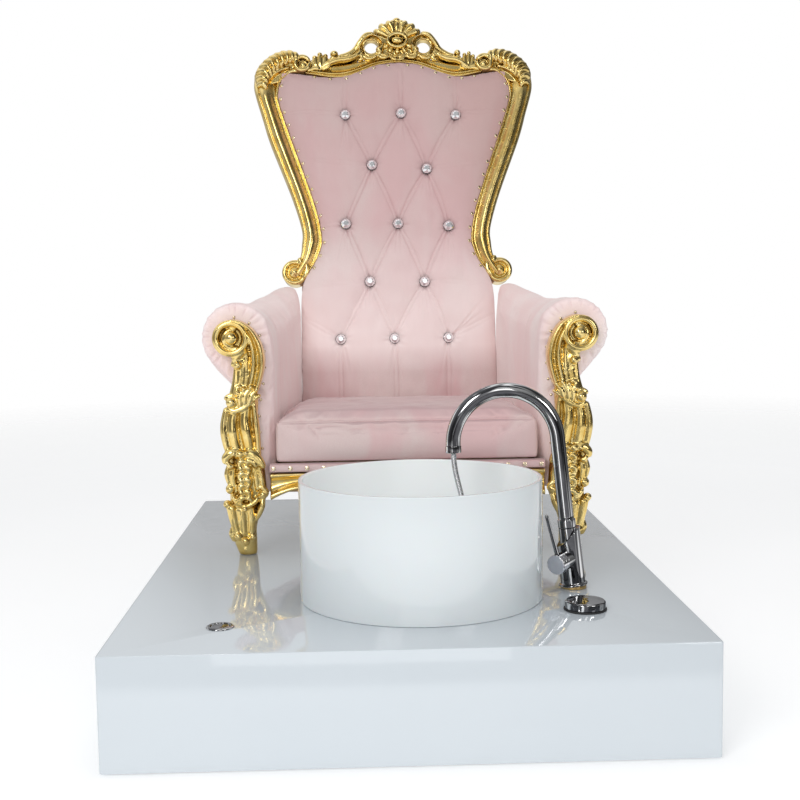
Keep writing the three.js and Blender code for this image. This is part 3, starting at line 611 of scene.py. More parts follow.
def crystal():
    s = Shader("cut_crystal")
    s.set(Base_Color=(0.93, 0.94, 0.96, 1), Metallic=0.75, Roughness=0.035, Coat_Weight=1.0)
    s.bump(s.noise(300, 1), 0.02, 0.0004)
    return s.material


def nail_metal():
    s = Shader("nail_gilt")
    # Painted shade: the heads darken where ambient occlusion finds the cloth close round them.
    rim = s.node("AmbientOcclusion", samples=4, Distance=0.004).outputs["AO"]
    bright = s.mix(s.noise(400, 3), (0.80, 0.64, 0.40), (0.95, 0.84, 0.66))
    s.set(Base_Color=s.mix(s.spread(rim, 0.3, 0.9, 0.8, 0), bright, (0.20, 0.12, 0.06)), Metallic=1.0)
    s.set(Roughness=s.spread(s.noise(700, 2), 0.3, 0.7, 0.14, 0.28))
    return s.material


GOLD = gold_leaf("gold_leaf", 0.75, 0.13)
# The mouldings get less painted crevice shade and none of the painted hollow shade or ridge highlight.
PLAIN_GOLD = gold_leaf("gold_moulding", 0.45, 0.2, hollow_shade_and_highlight=0.0)
VELVET = velvet("pink_velvet", (0.745, 0.515, 0.515), (0.75, 0.61, 0.59))
# A darker copy of the pink velvet for the outside of the back: even painted shade in place of the painted shading by
# height.
SHADED_OUTER_VELVET = velvet("outer_pink_velvet", (0.66, 0.46, 0.46), (0.67, 0.54, 0.525), without_painted_light=True)
# A much lighter copy of the pink velvet for the arms: painted light standing in for the strong light from the front on
# them.
PAINTED_LIGHT_ARM_VELVET = velvet("pink_velvet_painted_light", (0.95, 0.755, 0.745), (0.97, 0.855, 0.835), without_painted_light=True)
LACQUER = lacquer()
ACRYLIC = acrylic()
CHROME = chrome("chrome_plate", 0.07, 0.9, 0.53)
# A lighter copy of the chrome for the mixer cap: its painted reflection is painted much lighter.
PAINTED_LIGHT_CHROME = chrome("chrome_face", 0.75, 0.97)
HOSE = hose_metal()
BRASS = brass()
RUBBER = rubber()
CRYSTAL = crystal()
NAIL = nail_metal()
TIMBER = wood("planed_pine", (0.42, 0.26, 0.13), (0.62, 0.43, 0.24), 28)
PLY = wood("plywood", (0.46, 0.31, 0.17), (0.64, 0.47, 0.29), 16)
PUMP_PLASTIC = plastic("pump_plastic", (0.02, 0.022, 0.025), (0.045, 0.05, 0.055), 0.45)
PIPE_PLASTIC = plastic("pipe_plastic", (0.44, 0.45, 0.46), (0.56, 0.57, 0.58), 0.42)
DARK_CLOTH = plastic("air_button_face", (0.05, 0.055, 0.06), (0.10, 0.105, 0.11), 0.2)


# ---------------------------------------------------------------- fine work on solid pieces
def crisp(obj, bevel=0.6, angle=32, segments=2):
    """Small round edges and smooth shading that stays sharp over hard corners."""
    if bevel:
        edge = obj.modifiers.new("edge", "BEVEL")
        edge.width = bevel * MM
        edge.segments = segments
        edge.angle_limit = math.radians(angle)
        edge.use_clamp_overlap = True
        bake(obj)
    obj.data.polygons.foreach_set("use_smooth", [True] * len(obj.data.polygons))
    obj.data.set_sharp_from_angle(angle=math.radians(angle))
    return obj


def combine(obj, other, operation="UNION"):
    outward(obj)
    outward(other)
    boolean = obj.modifiers.new("combine", "BOOLEAN")
    boolean.operation = operation
    boolean.solver = "EXACT"
    boolean.object = other
    bake(obj)
    bpy.data.objects.remove(other)
    return obj


def dressed(node, material, slot, body="base", bevel=0.8, angle=32):
    """A CAD node's own shape with soft edges and a finish."""
    mesh = frame["nodes"][node].data.copy()
    obj = bpy.data.objects.new(node + "_finished", mesh)
    bpy.context.scene.collection.objects.link(obj)
    weld = obj.modifiers.new("weld", "WELD")
    weld.merge_threshold = 0.02 * MM
    bake(obj)
    for name in ("custom_normal", "sharp_edge"):
        if name in obj.data.attributes:
            obj.data.attributes.remove(obj.data.attributes[name])
    crisp(obj, bevel, angle)
    return finish_piece(obj, body, material, slot, node)


def box_points(low, high, edge):
    """A box with rounded edges, as points and faces, in millimetres."""
    import bmesh

    bm = bmesh.new()
    bmesh.ops.create_cube(bm, size=1)
    size, centre = (high - low), (high + low) / 2
    for v in bm.verts:
        v.co = Vector([centre[k] + v.co[k] * size[k] for k in range(3)])
    bmesh.ops.bevel(bm, geom=bm.edges[:] + bm.verts[:], offset=edge, segments=4, affect="EDGES", profile=0.5)
    bm.verts.ensure_lookup_table()
    verts = [tuple(v.co) for v in bm.verts]
    faces = [[v.index for v in f.verts] for f in bm.faces]
    bm.free()
    return verts, faces


def pin(start, end, radius, place, name="pin", sides=64):
    return make(name, *tube([start, end], radius, sides), place)


# ---------------------------------------------------------------- platform
def build_platform():
    shell = dressed("platform_shell", LACQUER, "lacquer", bevel=0)
    panel = dressed("rear_access_panel", LACQUER, "lacquer", "service_panel", 0.7)
    dressed("base_frame", TIMBER, "timber", bevel=1.2)
    for row in ("front", "rear"):
        for side in ("left", "right"):
            name = f"foot_pad_{row}_{side}"
            spot = middle(name)
            profile = rounded([(0, 0), (26, 0), (30, 3), (30, 7.5), (0, 7.5)], 1.2)
            pad = make(name + "_finished", *turned(profile, 64), Matrix.Translation((spot.x, spot.y, 0)))
            finish_piece(crisp(pad, 0), "base", RUBBER, "rubber_black", name)


# ---------------------------------------------------------------- basin and drain
BASIN = {"radius": 225, "height": 222, "wall": 7, "floor": 16, "cove": 38}
DRAIN_RADIUS = 21


def build_basin():
    r, h, inner = BASIN["radius"], BASIN["height"], BASIN["radius"] - BASIN["wall"]
    cove = [
        (inner - 38 + 38 * math.cos(a), BASIN["floor"] + 38 - 38 * math.sin(a))
        for a in np.linspace(0, math.pi / 2, 10)
    ]
    profile = [
        (DRAIN_RADIUS + 1, BASIN["floor"] - 5),
        (DRAIN_RADIUS + 1, 0.4),
        (r - 1, 0.4),
        (r, 1.6),
        (r, h),
        (inner, h),
        *cove,
        (DRAIN_RADIUS + 15, BASIN["floor"] - 2),
        (DRAIN_RADIUS + 1, BASIN["floor"] - 5),
    ]
    bowl = make("basin_bowl", *turned(rounded(profile, 1.8, 5), 192), standing("basin"))
    weld = bowl.modifiers.new("weld", "WELD")
    weld.merge_threshold = 0.01 * MM
    crisp(bake(bowl), 0, 50)
    finish_piece(bowl, "base", ACRYLIC, "basin_acrylic", "basin")
    dressed("drain_flange", CHROME, "chrome_plate", bevel=0.4)
    top = BASIN["floor"]
    profile = [
        (0, top - 40), (4, top - 40), (4, top + 0.6), (27, top + 0.6), (28, top + 2.5), (20, top + 6), (0, top + 7.5)
    ]
    stopper = make("drain_stopper_turned", *turned(rounded(profile, 1.5), 96), standing("drain_stopper"))
    finish_piece(crisp(stopper, 0), "stopper", CHROME, "chrome_plate", "drain_stopper")


def build_hidden_plumbing():
    dressed("drain_pump", PUMP_PLASTIC, "pump_plastic", bevel=1.2, angle=30)
    for node in ("drain_pipe", "outlet_pipe", "supply_hose_hot", "supply_hose_cold", "air_tube"):
        dressed(node, PIPE_PLASTIC, "pipe_plastic", bevel=0, angle=62)
    dressed("drain_cable", RUBBER, "rubber_black", bevel=0, angle=75)
    dressed("faucet_nut", BRASS, "brass_fitting", bevel=1.0)


# ---------------------------------------------------------------- controls on the deck
def build_deck_controls():
    place = standing("drain_knob")
    r, h = 36, 19
    profile = [(0, -30), (6, -30), (6, 3.5), (r, 3.5), (r, h - 4.4), (r - 2.2, h - 2.2), (r - 4, h - 1.8),
               (r - 14, h - 0.5), (0, h)]
    knob = make("drain_knob_turned", *turned(rounded(profile, 0.9), 144), place)
    combine(knob, pin((8, -r - 1, 11), (8, -r + 6, 11), 2.6, place, sides=32), "DIFFERENCE")
    screw = pin((8, -r + 5, 11), (8, -r + 2.2, 11), 2.4, place, "drain_knob_set_screw", 24)
    finish_piece(crisp(knob, 0), "drain_control", CHROME, "chrome_plate", "drain_knob")
    finish_piece(crisp(screw, 0.3), "drain_control", PUMP_PLASTIC, "pump_plastic")
    profile = [(6.4, -26), (10, -26), (10, 0.3), (r + 2, 0.3), (r + 2.2, 1.6), (r + 2, 3), (6.4, 3), (6.4, -26)]
    seat = make("drain_knob_gasket", *turned(rounded(profile, 0.6), 144), place)
    finish_piece(crisp(welded(seat), 0), "base", RUBBER, "rubber_black", "drain_knob_seat")

    place = standing("air_button_bezel")
    profile = [(13, -46), (20, -46), (20, 0.3), (24, 0.3), (23.6, 1.6), (21, 3), (17, 3), (16.4, -8), (13, -10),
               (13, -46)]
    bezel = make("air_button_ring", *turned(rounded(profile, 0.8), 96), place)
    finish_piece(crisp(welded(bezel), 0), "base", CHROME, "chrome_plate", "air_button_bezel")
    profile = [(0, -24), (12.4, -24), (12.4, -2.5), (16, -2.3), (16, 1.2), (14.5, 2.2), (9, 3.2), (0, 4)]
    cap = make("air_button_cap", *turned(rounded(profile, 0.9), 96), place)
    finish_piece(crisp(cap, 0), "air_control", CHROME, "chrome_plate", "air_button")


def welded(obj):
    weld = obj.modifiers.new("weld", "WELD")
    weld.merge_threshold = 0.01 * MM
    return bake(obj)


# ---------------------------------------------------------------- faucet, drawn upright in its leaning frame
LEAN = math.radians(6)
VALVE_HEIGHT, VALVE_RADIUS, VALVE_REACH, VALVE_END = 58, 18, 36.5, 58
VALVE_TURN = math.radians(38)
VALVE_OUT = np.array((-math.sin(VALVE_TURN), -math.cos(VALVE_TURN), 0))
LEVER_REACH, LEVER_LENGTH, LEVER_TILT = 44, 102, math.radians(16)
STRAIGHT, BEND_RADIUS, BEND = 291, 98, math.radians(176)


def on_valve(reach, height=VALVE_HEIGHT):
    return VALVE_OUT * reach + (0, 0, height)


def along_lever(distance, tilt=LEVER_TILT):
    return on_valve(LEVER_REACH + distance * math.sin(tilt), VALVE_HEIGHT + distance * math.cos(tilt))


def valve_turned(name, profile, segments=96):
    """A piece turned about the valve's own axis; its z is the reach from the faucet's axis."""
    turn = Vector((0, 0, 1)).rotation_difference(Vector(VALVE_OUT)).to_matrix().to_4x4()
    place = FAUCET @ Matrix.Translation((0, 0, VALVE_HEIGHT * MM)) @ turn
    return make(name, *turned(profile, segments), place)


def spout_end():
    c, s = math.cos(BEND), math.sin(BEND)
    return np.array((BEND_RADIUS * (c - 1), 0, STRAIGHT + BEND_RADIUS * s)), np.array((-s, 0, c))


def build_faucet():
    ring_top = lambda x: 5.7 / math.cos(LEAN) + x * math.tan(LEAN)
    verts, faces = turned([(15, 0.3), (24, 0.3), (24, 1), (15, 1), (15, 0.3)], 96)
    verts = [(x, y, ring_top(x) if z > 0.5 else z) for x, y, z in verts]
    wedge = welded(make("faucet_wedge_ring", verts, faces, standing("faucet_seat_ring")))
    finish_piece(crisp(wedge, 0.7), "base", BRASS, "brass_fitting", "faucet_seat_ring")

    profile = [(0, 6.2), (26.6, 6.2), (27, 7), (27, 8.8), (25.5, 10.2), (23.4, 10.8), (23, 12.5), (23, 124), (0, 124)]
    body = make("faucet_body_shell", *turned(rounded(profile, 0.7), 128), FAUCET)
    cut_turn = Matrix.Rotation(math.radians(-38), 4, "Y")
    block, faces = box_points(np.array((-80, -80, 0)), np.array((80, 80, 90)), 0.01)
    slant = make("cut", block, faces, FAUCET @ Matrix.Translation((0, 0, 0.1)) @ cut_turn)
    combine(body, slant, "DIFFERENCE")
    combine(body, pin((0, 0, 30), (0, 0, 116), 16.4, FAUCET, sides=96))
    branch = valve_turned("branch", rounded([(0, 0), (18, 0), (18, VALVE_REACH - 0.8), (17.2, VALVE_REACH), (0, VALVE_REACH)], 0.6))
    combine(body, branch)
    combine(body, pin((0, 0, -52), (0, 0, 7), 13, FAUCET, sides=64))
    combine(body, pin((0, 0, 70), (0, 0, 140), 11.8, FAUCET, sides=64), "DIFFERENCE")
    combine(body, pin(on_valve(VALVE_REACH - 14), on_valve(VALVE_REACH + 5), 13, FAUCET, sides=64), "DIFFERENCE")
    finish_piece(crisp(body, 0.35, 34), "base", CHROME, "chrome_plate", "faucet_body")

    start, end, r = VALVE_REACH + 0.8, VALVE_END, VALVE_RADIUS + 0.6
    profile = [(0, start - 12), (12.4, start - 12), (12.4, start), (r, start), (r, start + 9), (r - 0.5, start + 9.5),
               (r, start + 10), (r, end - 1.6), (r - 1.6, end), (0, end + 0.4)]
    cap = valve_turned("mixer_cap_drum", rounded(profile, 0.5), 128)
    for tilt in (0, LEVER_TILT / 2, LEVER_TILT):
        slot = pin(along_lever(-5.5, tilt), along_lever(VALVE_RADIUS + 8, tilt), 4.6, FAUCET, sides=32)
        combine(cap, slot, "DIFFERENCE")
    finish_piece(crisp(cap, 0, 34), "mixer_handle", PAINTED_LIGHT_CHROME, "chrome_plate", "mixer_cap")

    path = [along_lever(d) for d in (-4.5, 18, LEVER_LENGTH - 5, LEVER_LENGTH - 1.5, LEVER_LENGTH)]
    lever = make("mixer_lever_pin", *tube(path, [3.8, 3.8, 3.4, 3.1, 2.2], 40), FAUCET)
    finish_piece(crisp(lever, 0.3), "mixer_pin", CHROME, "chrome_plate", "mixer_lever")

    bend = [(-BEND_RADIUS + BEND_RADIUS * math.cos(a), 0, STRAIGHT + BEND_RADIUS * math.sin(a))
            for a in np.linspace(0, BEND, 60)]
    neck = make("spout_gooseneck", *tube([(0, 0, 135.5), (0, 0, 160), (0, 0, 220)] + bend, 14, 64), FAUCET)
    profile = [(0, 72), (11.2, 72), (11.2, 117), (16.4, 117), (16.8, 118), (16.8, 131.5), (16.2, 132.6), (14.6, 133),
               (14.3, 138), (0, 138)]
    collar = make("collar", *turned(rounded(profile, 0.6), 96), FAUCET)
    combine(neck, collar)
    finish_piece(crisp(neck, 0, 36), "spout", CHROME, "chrome_plate", "spout_tube")

    tip, down = spout_end()
    aim = Vector((0, 0, 1)).rotation_difference(Vector(down)).to_matrix().to_4x4()
    profile = [(7, 2), (7, 0.6), (14.2, 0.6), (14.9, 1.3), (14.9, 12.6), (14.2, 14), (8.5, 14), (7.4, 12.5), (7, 2)]
    place = FAUCET @ Matrix.Translation(Vector(tip) * MM) @ aim
    sleeve = welded(make("spout_sleeve", *turned(rounded(profile, 0.5), 96), place))
    finish_piece(crisp(sleeve, 0), "spout", CHROME, "chrome_plate", "spout_nozzle")

    head_low, head_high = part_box("spray_head")
    head_top = Vector(((head_low.x + head_high.x) / 2, (head_low.y + head_high.y) / 2, head_high.z))
    profile = [(0, -82), (10.5, -82), (11.5, -80.5), (13, -81), (14.5, -78.5), (14.5, -50), (14.0, -49.4), (14.5, -48.8),
               (14.5, -20), (11, -9), (8.6, -4), (8, 0), (0, 0)]
    head = make("spray_head_turned", *turned(rounded(profile, 0.7), 96), Matrix.Translation(head_top))
    finish_piece(crisp(head, 0), "spray", CHROME, "chrome_plate", "spray_head")
    build_spray_hose(FAUCET @ (Vector(tip + down * 14) * MM), head_top)


def build_spray_hose(nozzle, head):
    """A spirally ribbed metal hose that hangs from the nozzle to the spray head."""
    low, top = np.array(head) / MM, np.array(nozzle) / MM
    stiff = np.linspace(0, 1, 14)[:, None]
    drop = np.array((0, 0, 0.42 * (top[2] - low[2])))
    hang = (1 - stiff) ** 3 * top + 3 * stiff * (1 - stiff) ** 2 * (top - drop) + 3 * stiff**2 * (1 - stiff) * (low + drop)
    hang = hang + stiff**3 * low
    ribs = 52
    path = even(np.vstack([top + (0, 0, 8), hang, low + (0, 0, -0.5)]), ribs * 6 + 1)
    radii = 4.75 + 0.45 * np.abs(np.sin(np.linspace(0, ribs * math.pi, len(path))))
    hose = make("spray_hose_ribbed", *tube(path, radii, 28), Matrix.Identity(4))
    finish_piece(hose, None, HOSE, "flexible_metal", "spray_hose")
    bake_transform(hose)


# ---------------------------------------------------------------- upholstery
INNER_EDGE = [(285, 805), (294, 778), (292, 744), (264, 657), (240, 588), (202, 471), (189, 400), (194, 366),
              (210, 331), (230, 300)]
OUTER_EDGE = [(250, 320), (241, 385), (239, 426), (262, 512), (312, 650), (330, 718), (356, 820), (348, 846),
              (329, 868), (303, 886), (270, 889), (226, 862)]
CREST_UNDER = [(222, 820), (165, 811), (130, 813), (90, 827), (50, 842), (0, 848)]
BUTTON_ROWS = [
    [(-125, 707), (16, 710), (154, 704)],
    [(-60, 578), (78, 567)],
    [(-128, 429), (3, 428), (130, 421)],
    [(-70, 282), (67, 280)],
    [(-145, 138), (-11, 138), (124, 138)],
]
BUTTONS = [spot for row in BUTTON_ROWS for spot in row]
CREST_SHIFT, CREST_FROM, CREST_TAPER = 11, 222, 100
PAD_LOW, PAD_REAR = -74, 14
SEAT = {"half": 284, "rear_half": 238, "taper": (250, 483), "front": 12, "rear": 418, "bottom": 198, "top": 292}


def pad_half_width(z):
    """Half the width of the back's padding at a height."""
    side = curve_through(INNER_EDGE + [(240, 268), (244, 200), (244, -58), (235, PAD_LOW)], 400)
    return np.interp(z, side[::-1, 1], side[::-1, 0])


def off_centre(x):
    """The crest's middle sits a little to the right of the chair's."""
    return x + CREST_SHIFT * np.clip((CREST_FROM - np.abs(x)) / CREST_TAPER, 0, 1)


def pad_top(x):
    edge = curve_through([(285, 806), (262, 822)] + CREST_UNDER, 200)
    both = np.vstack([edge * (-1, 1), edge[::-1]])
    return np.interp(x, off_centre(both[:, 0]), both[:, 1])


def ripples(x, z, reach, seed, count=14, stretch=1.0):
    """Smooth seeded unevenness between about -1 and 1."""
    pick = np.random.default_rng(seed)
    total = 0
    for _ in range(count):
        turn = pick.uniform(0, 2 * math.pi)
        size = reach * pick.uniform(0.6, 1.7)
        wave = (x * math.cos(turn) + z * math.sin(turn) / stretch) / size
        total = total + np.sin(2 * math.pi * wave + pick.uniform(0, 6.28))
    return total / math.sqrt(count / 2) / 1.6


def pleat_lines():
    """Each pleat of the tufting as start, end and strength."""
    lines = []
    for upper, lower in zip(BUTTON_ROWS, BUTTON_ROWS[1:]):
        lines += [(a, b, 1.0) for a in upper for b in lower if abs(a[0] - b[0]) < 100]
    for x, z in BUTTON_ROWS[0]:
        lines.append(((x, z), (x * 1.02, pad_top(x) + 6), 0.75))
    for x, z in BUTTON_ROWS[-1]:
        lines.append(((x, z), (x * 0.98, PAD_LOW - 10), 0.8))
    for row, drift, strength in ((0, 8, 0.35), (2, -6, 0.35), (4, 60, 0.6), (1, 20, 0.2), (3, -10, 0.2)):
        for x, z in (BUTTON_ROWS[row][0], BUTTON_ROWS[row][-1]):
            side = math.copysign(float(pad_half_width(z + drift)), x)
            lines.append(((x, z), (side, z + drift), strength))
    return lines


def fan_lines():
    """Short folds that fan out from the buttons: start, end, depth in millimetres."""
    pick = np.random.default_rng(7)
    lines = []
    for row, spots in enumerate(BUTTON_ROWS):
        for bx, bz in spots:
            for k in range(4):
                spread = (k - 1.5) * 13 + pick.uniform(-4, 4)
                reach = pick.uniform(48, 105) if row < 4 else pick.uniform(60, 120)
                lines.append(((bx + 0.2 * spread, bz - 14), (bx + spread, bz - reach), pick.uniform(0.9, 1.9)))
            for k in range(3 if row == 0 else 2):
                spread = (k - 1) * 11 + pick.uniform(-4, 4)
                reach = pick.uniform(70, 95) if row == 0 else pick.uniform(30, 60)
                lines.append(((bx + 0.2 * spread, bz + 14), (bx + spread, bz + reach), pick.uniform(0.8, 1.6)))
    last_x, last_z = BUTTON_ROWS[-1][-1]
    for far_z in (246, 214):
        lines.append(((last_x + 10, last_z + 8), (228, far_z), 2.6))
    return lines


def fold(x, z, start, end, depth):
    """A narrow furrow that deepens from its start and fades towards its end."""
    run = np.array(end, float) - start
    length = np.linalg.norm(run)
    ahead, side = run / length, np.array((-run[1], run[0])) / length
    along = ((x - start[0]) * ahead[0] + (z - start[1]) * ahead[1]) / length
    off = (x - start[0]) * side[0] + (z - start[1]) * side[1] + 2.0 * np.sin(3 * along + start[0])
    fade = np.clip(along * 6 + 1, 0, 1) * np.clip(1 - along, 0, 1) ** 0.8
    return depth * fade * (np.exp(-((off / 2.4) ** 2)) - 0.4 * np.exp(-(((off - 5) / 3.2) ** 2)))


def tufted(x, z, edge):
    """How far the tufted back stands forward, from its place across and up and its distance to the border."""
    swell = 17 + 36 * (1 - np.exp(-np.clip(edge, 0, None) / 34))
    valley, crease = np.zeros_like(x), np.zeros_like(x)
    for number, ((x0, z0), (x1, z1), strength) in enumerate(pleat_lines()):
        run = np.array((x1 - x0, z1 - z0))
        length = np.linalg.norm(run)
        ahead, side = run / length, np.array((-run[1], run[0])) / length
        along = ((x - x0) * ahead[0] + (z - z0) * ahead[1]) / length
        bow = 3.0 * math.sin(number * 2.4) * np.sin(np.clip(along, 0, 1) * math.pi)
        off = (x - x0) * side[0] + (z - z0) * side[1] + bow
        past = (np.clip(-along, 0, None) + np.clip(along - 1, 0, None)) * length
        far = np.hypot(off, past)
        middle_share = 1 - np.abs(2 * np.clip(along, 0, 1) - 1) ** 1.5
        depth = strength * (1 - 0.42 * middle_share)
        valley += (depth * np.exp(-((far / 25) ** 1.35))) ** 5
        hand = 1 if math.sin(number * 1.7) > 0 else -1
        apart = 2.2 + 3.4 * middle_share
        cut = np.exp(-(((off - hand * apart) / 2.5) ** 2)) + 0.6 * np.exp(-(((off + hand * apart) / 2.5) ** 2))
        cut -= 0.55 * middle_share * np.exp(-((off / 3.2) ** 2))
        crease += strength * (1 - 0.45 * middle_share) * cut * np.exp(-((past / 3) ** 2))
    valley = valley**0.2
    fans = sum(fold(x, z, *line) for line in fan_lines())
    dip, puckers = np.zeros_like(x), np.zeros_like(x)
    for number, (bx, bz) in enumerate(BUTTONS):
        away, angle = np.hypot(x - bx, z - bz), np.arctan2(z - bz, x - bx)
        dip += np.exp(-((away / 15) ** 2))
        waves = np.sin(angle * (7 + number % 3) + number) + 0.6 * np.sin(angle * (11 + number % 4) - number)
        puckers += waves * np.exp(-(((away - 17) / 13) ** 2))
    inside = 1 - np.exp(-np.clip(edge, 0, None) / 30)
    soft = 1.1 * ripples(x, z, 85, 5) + 0.5 * ripples(x, z, 30, 8, stretch=2.4)
    folds = 3.6 * crease * inside**0.5 + inside * fans
    return swell + inside * (soft - 14 * valley - 7 * dip) - folds + 0.75 * puckers


def build_back_cushion():
    columns, rows = 244, 390
    s, t = np.meshgrid(np.linspace(-1, 1, columns), np.linspace(0, 1, rows))
    top = pad_top(s * 262) - 0.4
    z = PAD_LOW + t * (top - PAD_LOW)
    half = pad_half_width(np.minimum(z, 806)) - 0.4
    x = s * half
    sides, above = half * (1 - np.abs(s)), top - z
    edge = -12 * np.log(np.exp(-sides / 12) + np.exp(-above / 12) + np.exp(-(z - PAD_LOW + 30) / 12))
    gathers = 0.9 * np.exp(-np.abs(edge) / 9) * np.sin((x + z) / 4.6 + 2 * np.sin(z / 60))
    forward = tufted(x, z, edge) + gathers
    lean_back = np.clip((60 - z) / 120, 0, 1) * 5
    verts = list(np.column_stack([x.ravel(), -(forward - lean_back).ravel(), z.ravel()]))
    faces = [
        (r * columns + c, r * columns + c + 1, (r + 1) * columns + c + 1, (r + 1) * columns + c)
        for r in range(rows - 1)
        for c in range(columns - 1)
    ]
    low = list(range(columns))
    right = [r * columns + columns - 1 for r in range(1, rows)]
    over = [(rows - 1) * columns + c for c in range(columns - 2, -1, -1)]
    left = [r * columns for r in range(rows - 2, 0, -1)]
    border = low + right + over + left
    base = len(verts)
    verts += [(verts[i][0], PAD_REAR, verts[i][2]) for i in border]
    size = len(border)
    for i in range(size):
        j = (i + 1) % size
        faces.append((border[j], border[i], base + i, base + j))
    faces.append([base + i for i in range(size)])
    pad = make("back_cushion_tufted", verts, faces, BACK)
    outward(pad)
    return finish_piece(crisp(pad, 0, 70), "base", VELVET, "pink_velvet", "back_cushion")


def build_crystals():
    """Cut-glass buttons on small metal cups, sunk in the tufts."""
    cup = rounded([(0, -6), (12.6, -6), (13.4, -4.5), (13.4, 0.5), (12.2, 1.2), (0, 1.0)], 0.5)
    for row, spots in enumerate(BUTTON_ROWS):
        for column, (x, z) in enumerate(spots):
            name = f"{row + 1}_{column + 1}"
            place = BACK @ Matrix.Translation((x * MM, -39.5 * MM, z * MM)) @ Matrix.Rotation(math.pi / 2, 4, "X")
            place = place @ Matrix.Rotation(0.37 * (row * 3 + column), 4, "Z")
            setting = make(f"button_cup_{name}", *turned(cup, 48), place)
            finish_piece(crisp(setting, 0, 40), "base", CHROME, "chrome_plate")
            stone = make(f"button_stone_{name}", *cut_stone(), place, smooth=False)
            finish_piece(stone, "base", CRYSTAL, "crystal", f"crystal_button_{name}")


def cut_stone():
    """A faceted stone with a flat table: three staggered rings of kite and triangle facets."""
    rings = ((12.0, 0.6, 16, 0), (12.4, 3.2, 16, 0), (9.6, 7.0, 8, 0.5), (5.6, 10.2, 8, 0))
    verts = []
    for radius, height, count, turn in rings:
        for i in range(count):
            a = 2 * math.pi * (i + turn) / count
            verts.append((radius * math.cos(a), radius * math.sin(a), height))
    faces = [tuple(range(16))[::-1], tuple(range(40, 48))]
    for i in range(16):
        j = (i + 1) % 16
        faces.append((i, j, 16 + j, 16 + i))
    for i in range(8):
        a, b, c = 16 + 2 * i, 16 + (2 * i + 1) % 16, 16 + (2 * i + 2) % 16
        mid, on = 32 + i, 40 + i
        following, next_on = 32 + (i + 1) % 8, 40 + (i + 1) % 8
        faces += [(a, b, mid), (b, c, mid), (mid, c, following), (on, mid, next_on), (mid, following, next_on)]
    return verts, faces


def seat_half_at(y):
    start, end = SEAT["taper"]
    share = np.clip((np.asarray(y, float) - start) / (end - start), 0, 1)
    return SEAT["half"] + (SEAT["rear_half"] - SEAT["half"]) * share


def inflate(obj, travel, pressure=4.0, voxel=5.0, hold=None, frames=20, stiffness=12):
    """Swells a soft piece with a short cloth simulation; points selected by hold stay where they are."""
    import bmesh

    fuse(obj, voxel, 1)
    rest = np.array([v.co for v in obj.data.vertices])
    group = obj.vertex_groups.new(name="held")
    held = [i for i, p in enumerate(rest) if hold(p)] if hold else []
    if held:
        group.add(held, 1.0, "REPLACE")
    cloth = obj.modifiers.new("swell", "CLOTH")
    settings = cloth.settings
    settings.quality = 5
    settings.mass = 0.3
    settings.tension_stiffness = settings.compression_stiffness = stiffness
    settings.shear_stiffness = stiffness * 0.6
    settings.bending_stiffness = 0.8
    settings.use_pressure = True
    settings.uniform_pressure_force = pressure
    settings.effector_weights.gravity = 0
    settings.vertex_group_mass = "held" if held else ""
    cloth.collision_settings.use_collision = False
    cloth.collision_settings.use_self_collision = False
    scene = bpy.context.scene
    for number in range(1, frames + 1):
        scene.frame_set(number)
    bake(obj)
    now = np.array([v.co for v in obj.data.vertices])
    step = now - rest
    length = np.linalg.norm(step, axis=1)[:, None]
    limit = travel * MM
    scale = np.where(length > limit, limit / np.maximum(length, 1e-9), 1)
    obj.data.vertices.foreach_set("co", (rest + step * scale).ravel())
    scene.frame_set(1)
    obj.vertex_groups.clear()
    return obj


def local_points(obj, place):
    """A mesh's points in millimetres in a local frame."""
    inverse = np.array(place.inverted())
    points = np.array([v.co for v in obj.data.vertices])
    return (points @ inverse[:3, :3].T + inverse[:3, 3]) / MM


def set_points(obj, points, place):
    matrix = np.array(place)
    obj.data.vertices.foreach_set("co", ((points * MM) @ matrix[:3, :3].T + matrix[:3, 3]).ravel())
    obj.data.update()


def normals_of(obj, place):
    turn = np.array(place.inverted())[:3, :3]
    return np.array([v.normal for v in obj.data.vertices]) @ turn.T


def subdivide(obj, levels=1):
    finer = obj.modifiers.new("finer", "SUBSURF")
    finer.levels = finer.render_levels = levels
    return bake(obj)


def rounded_plan(inset, front, rear, corner):
    """The seat's outline from above with rounded corners, as an even closed line."""
    wide = float(seat_half_at(SEAT["taper"][0])) - inset
    back = float(seat_half_at(rear)) - inset
    right = [(0, front), (wide, front), (wide, SEAT["taper"][0]), (back, rear), (0, rear)]
    line = rounded(right, corner, 8)
    line = line + [np.array((-x, y)) for x, y in line[::-1]][1:-1]
    closed = np.array(line + [line[0]])
    reach = np.concatenate([[0], np.cumsum(np.linalg.norm(np.diff(closed, axis=0), axis=1))])
    wanted = np.linspace(0, reach[-1], 241)[:-1]
    return np.column_stack([np.interp(wanted, reach, closed[:, k]) for k in (0, 1)])


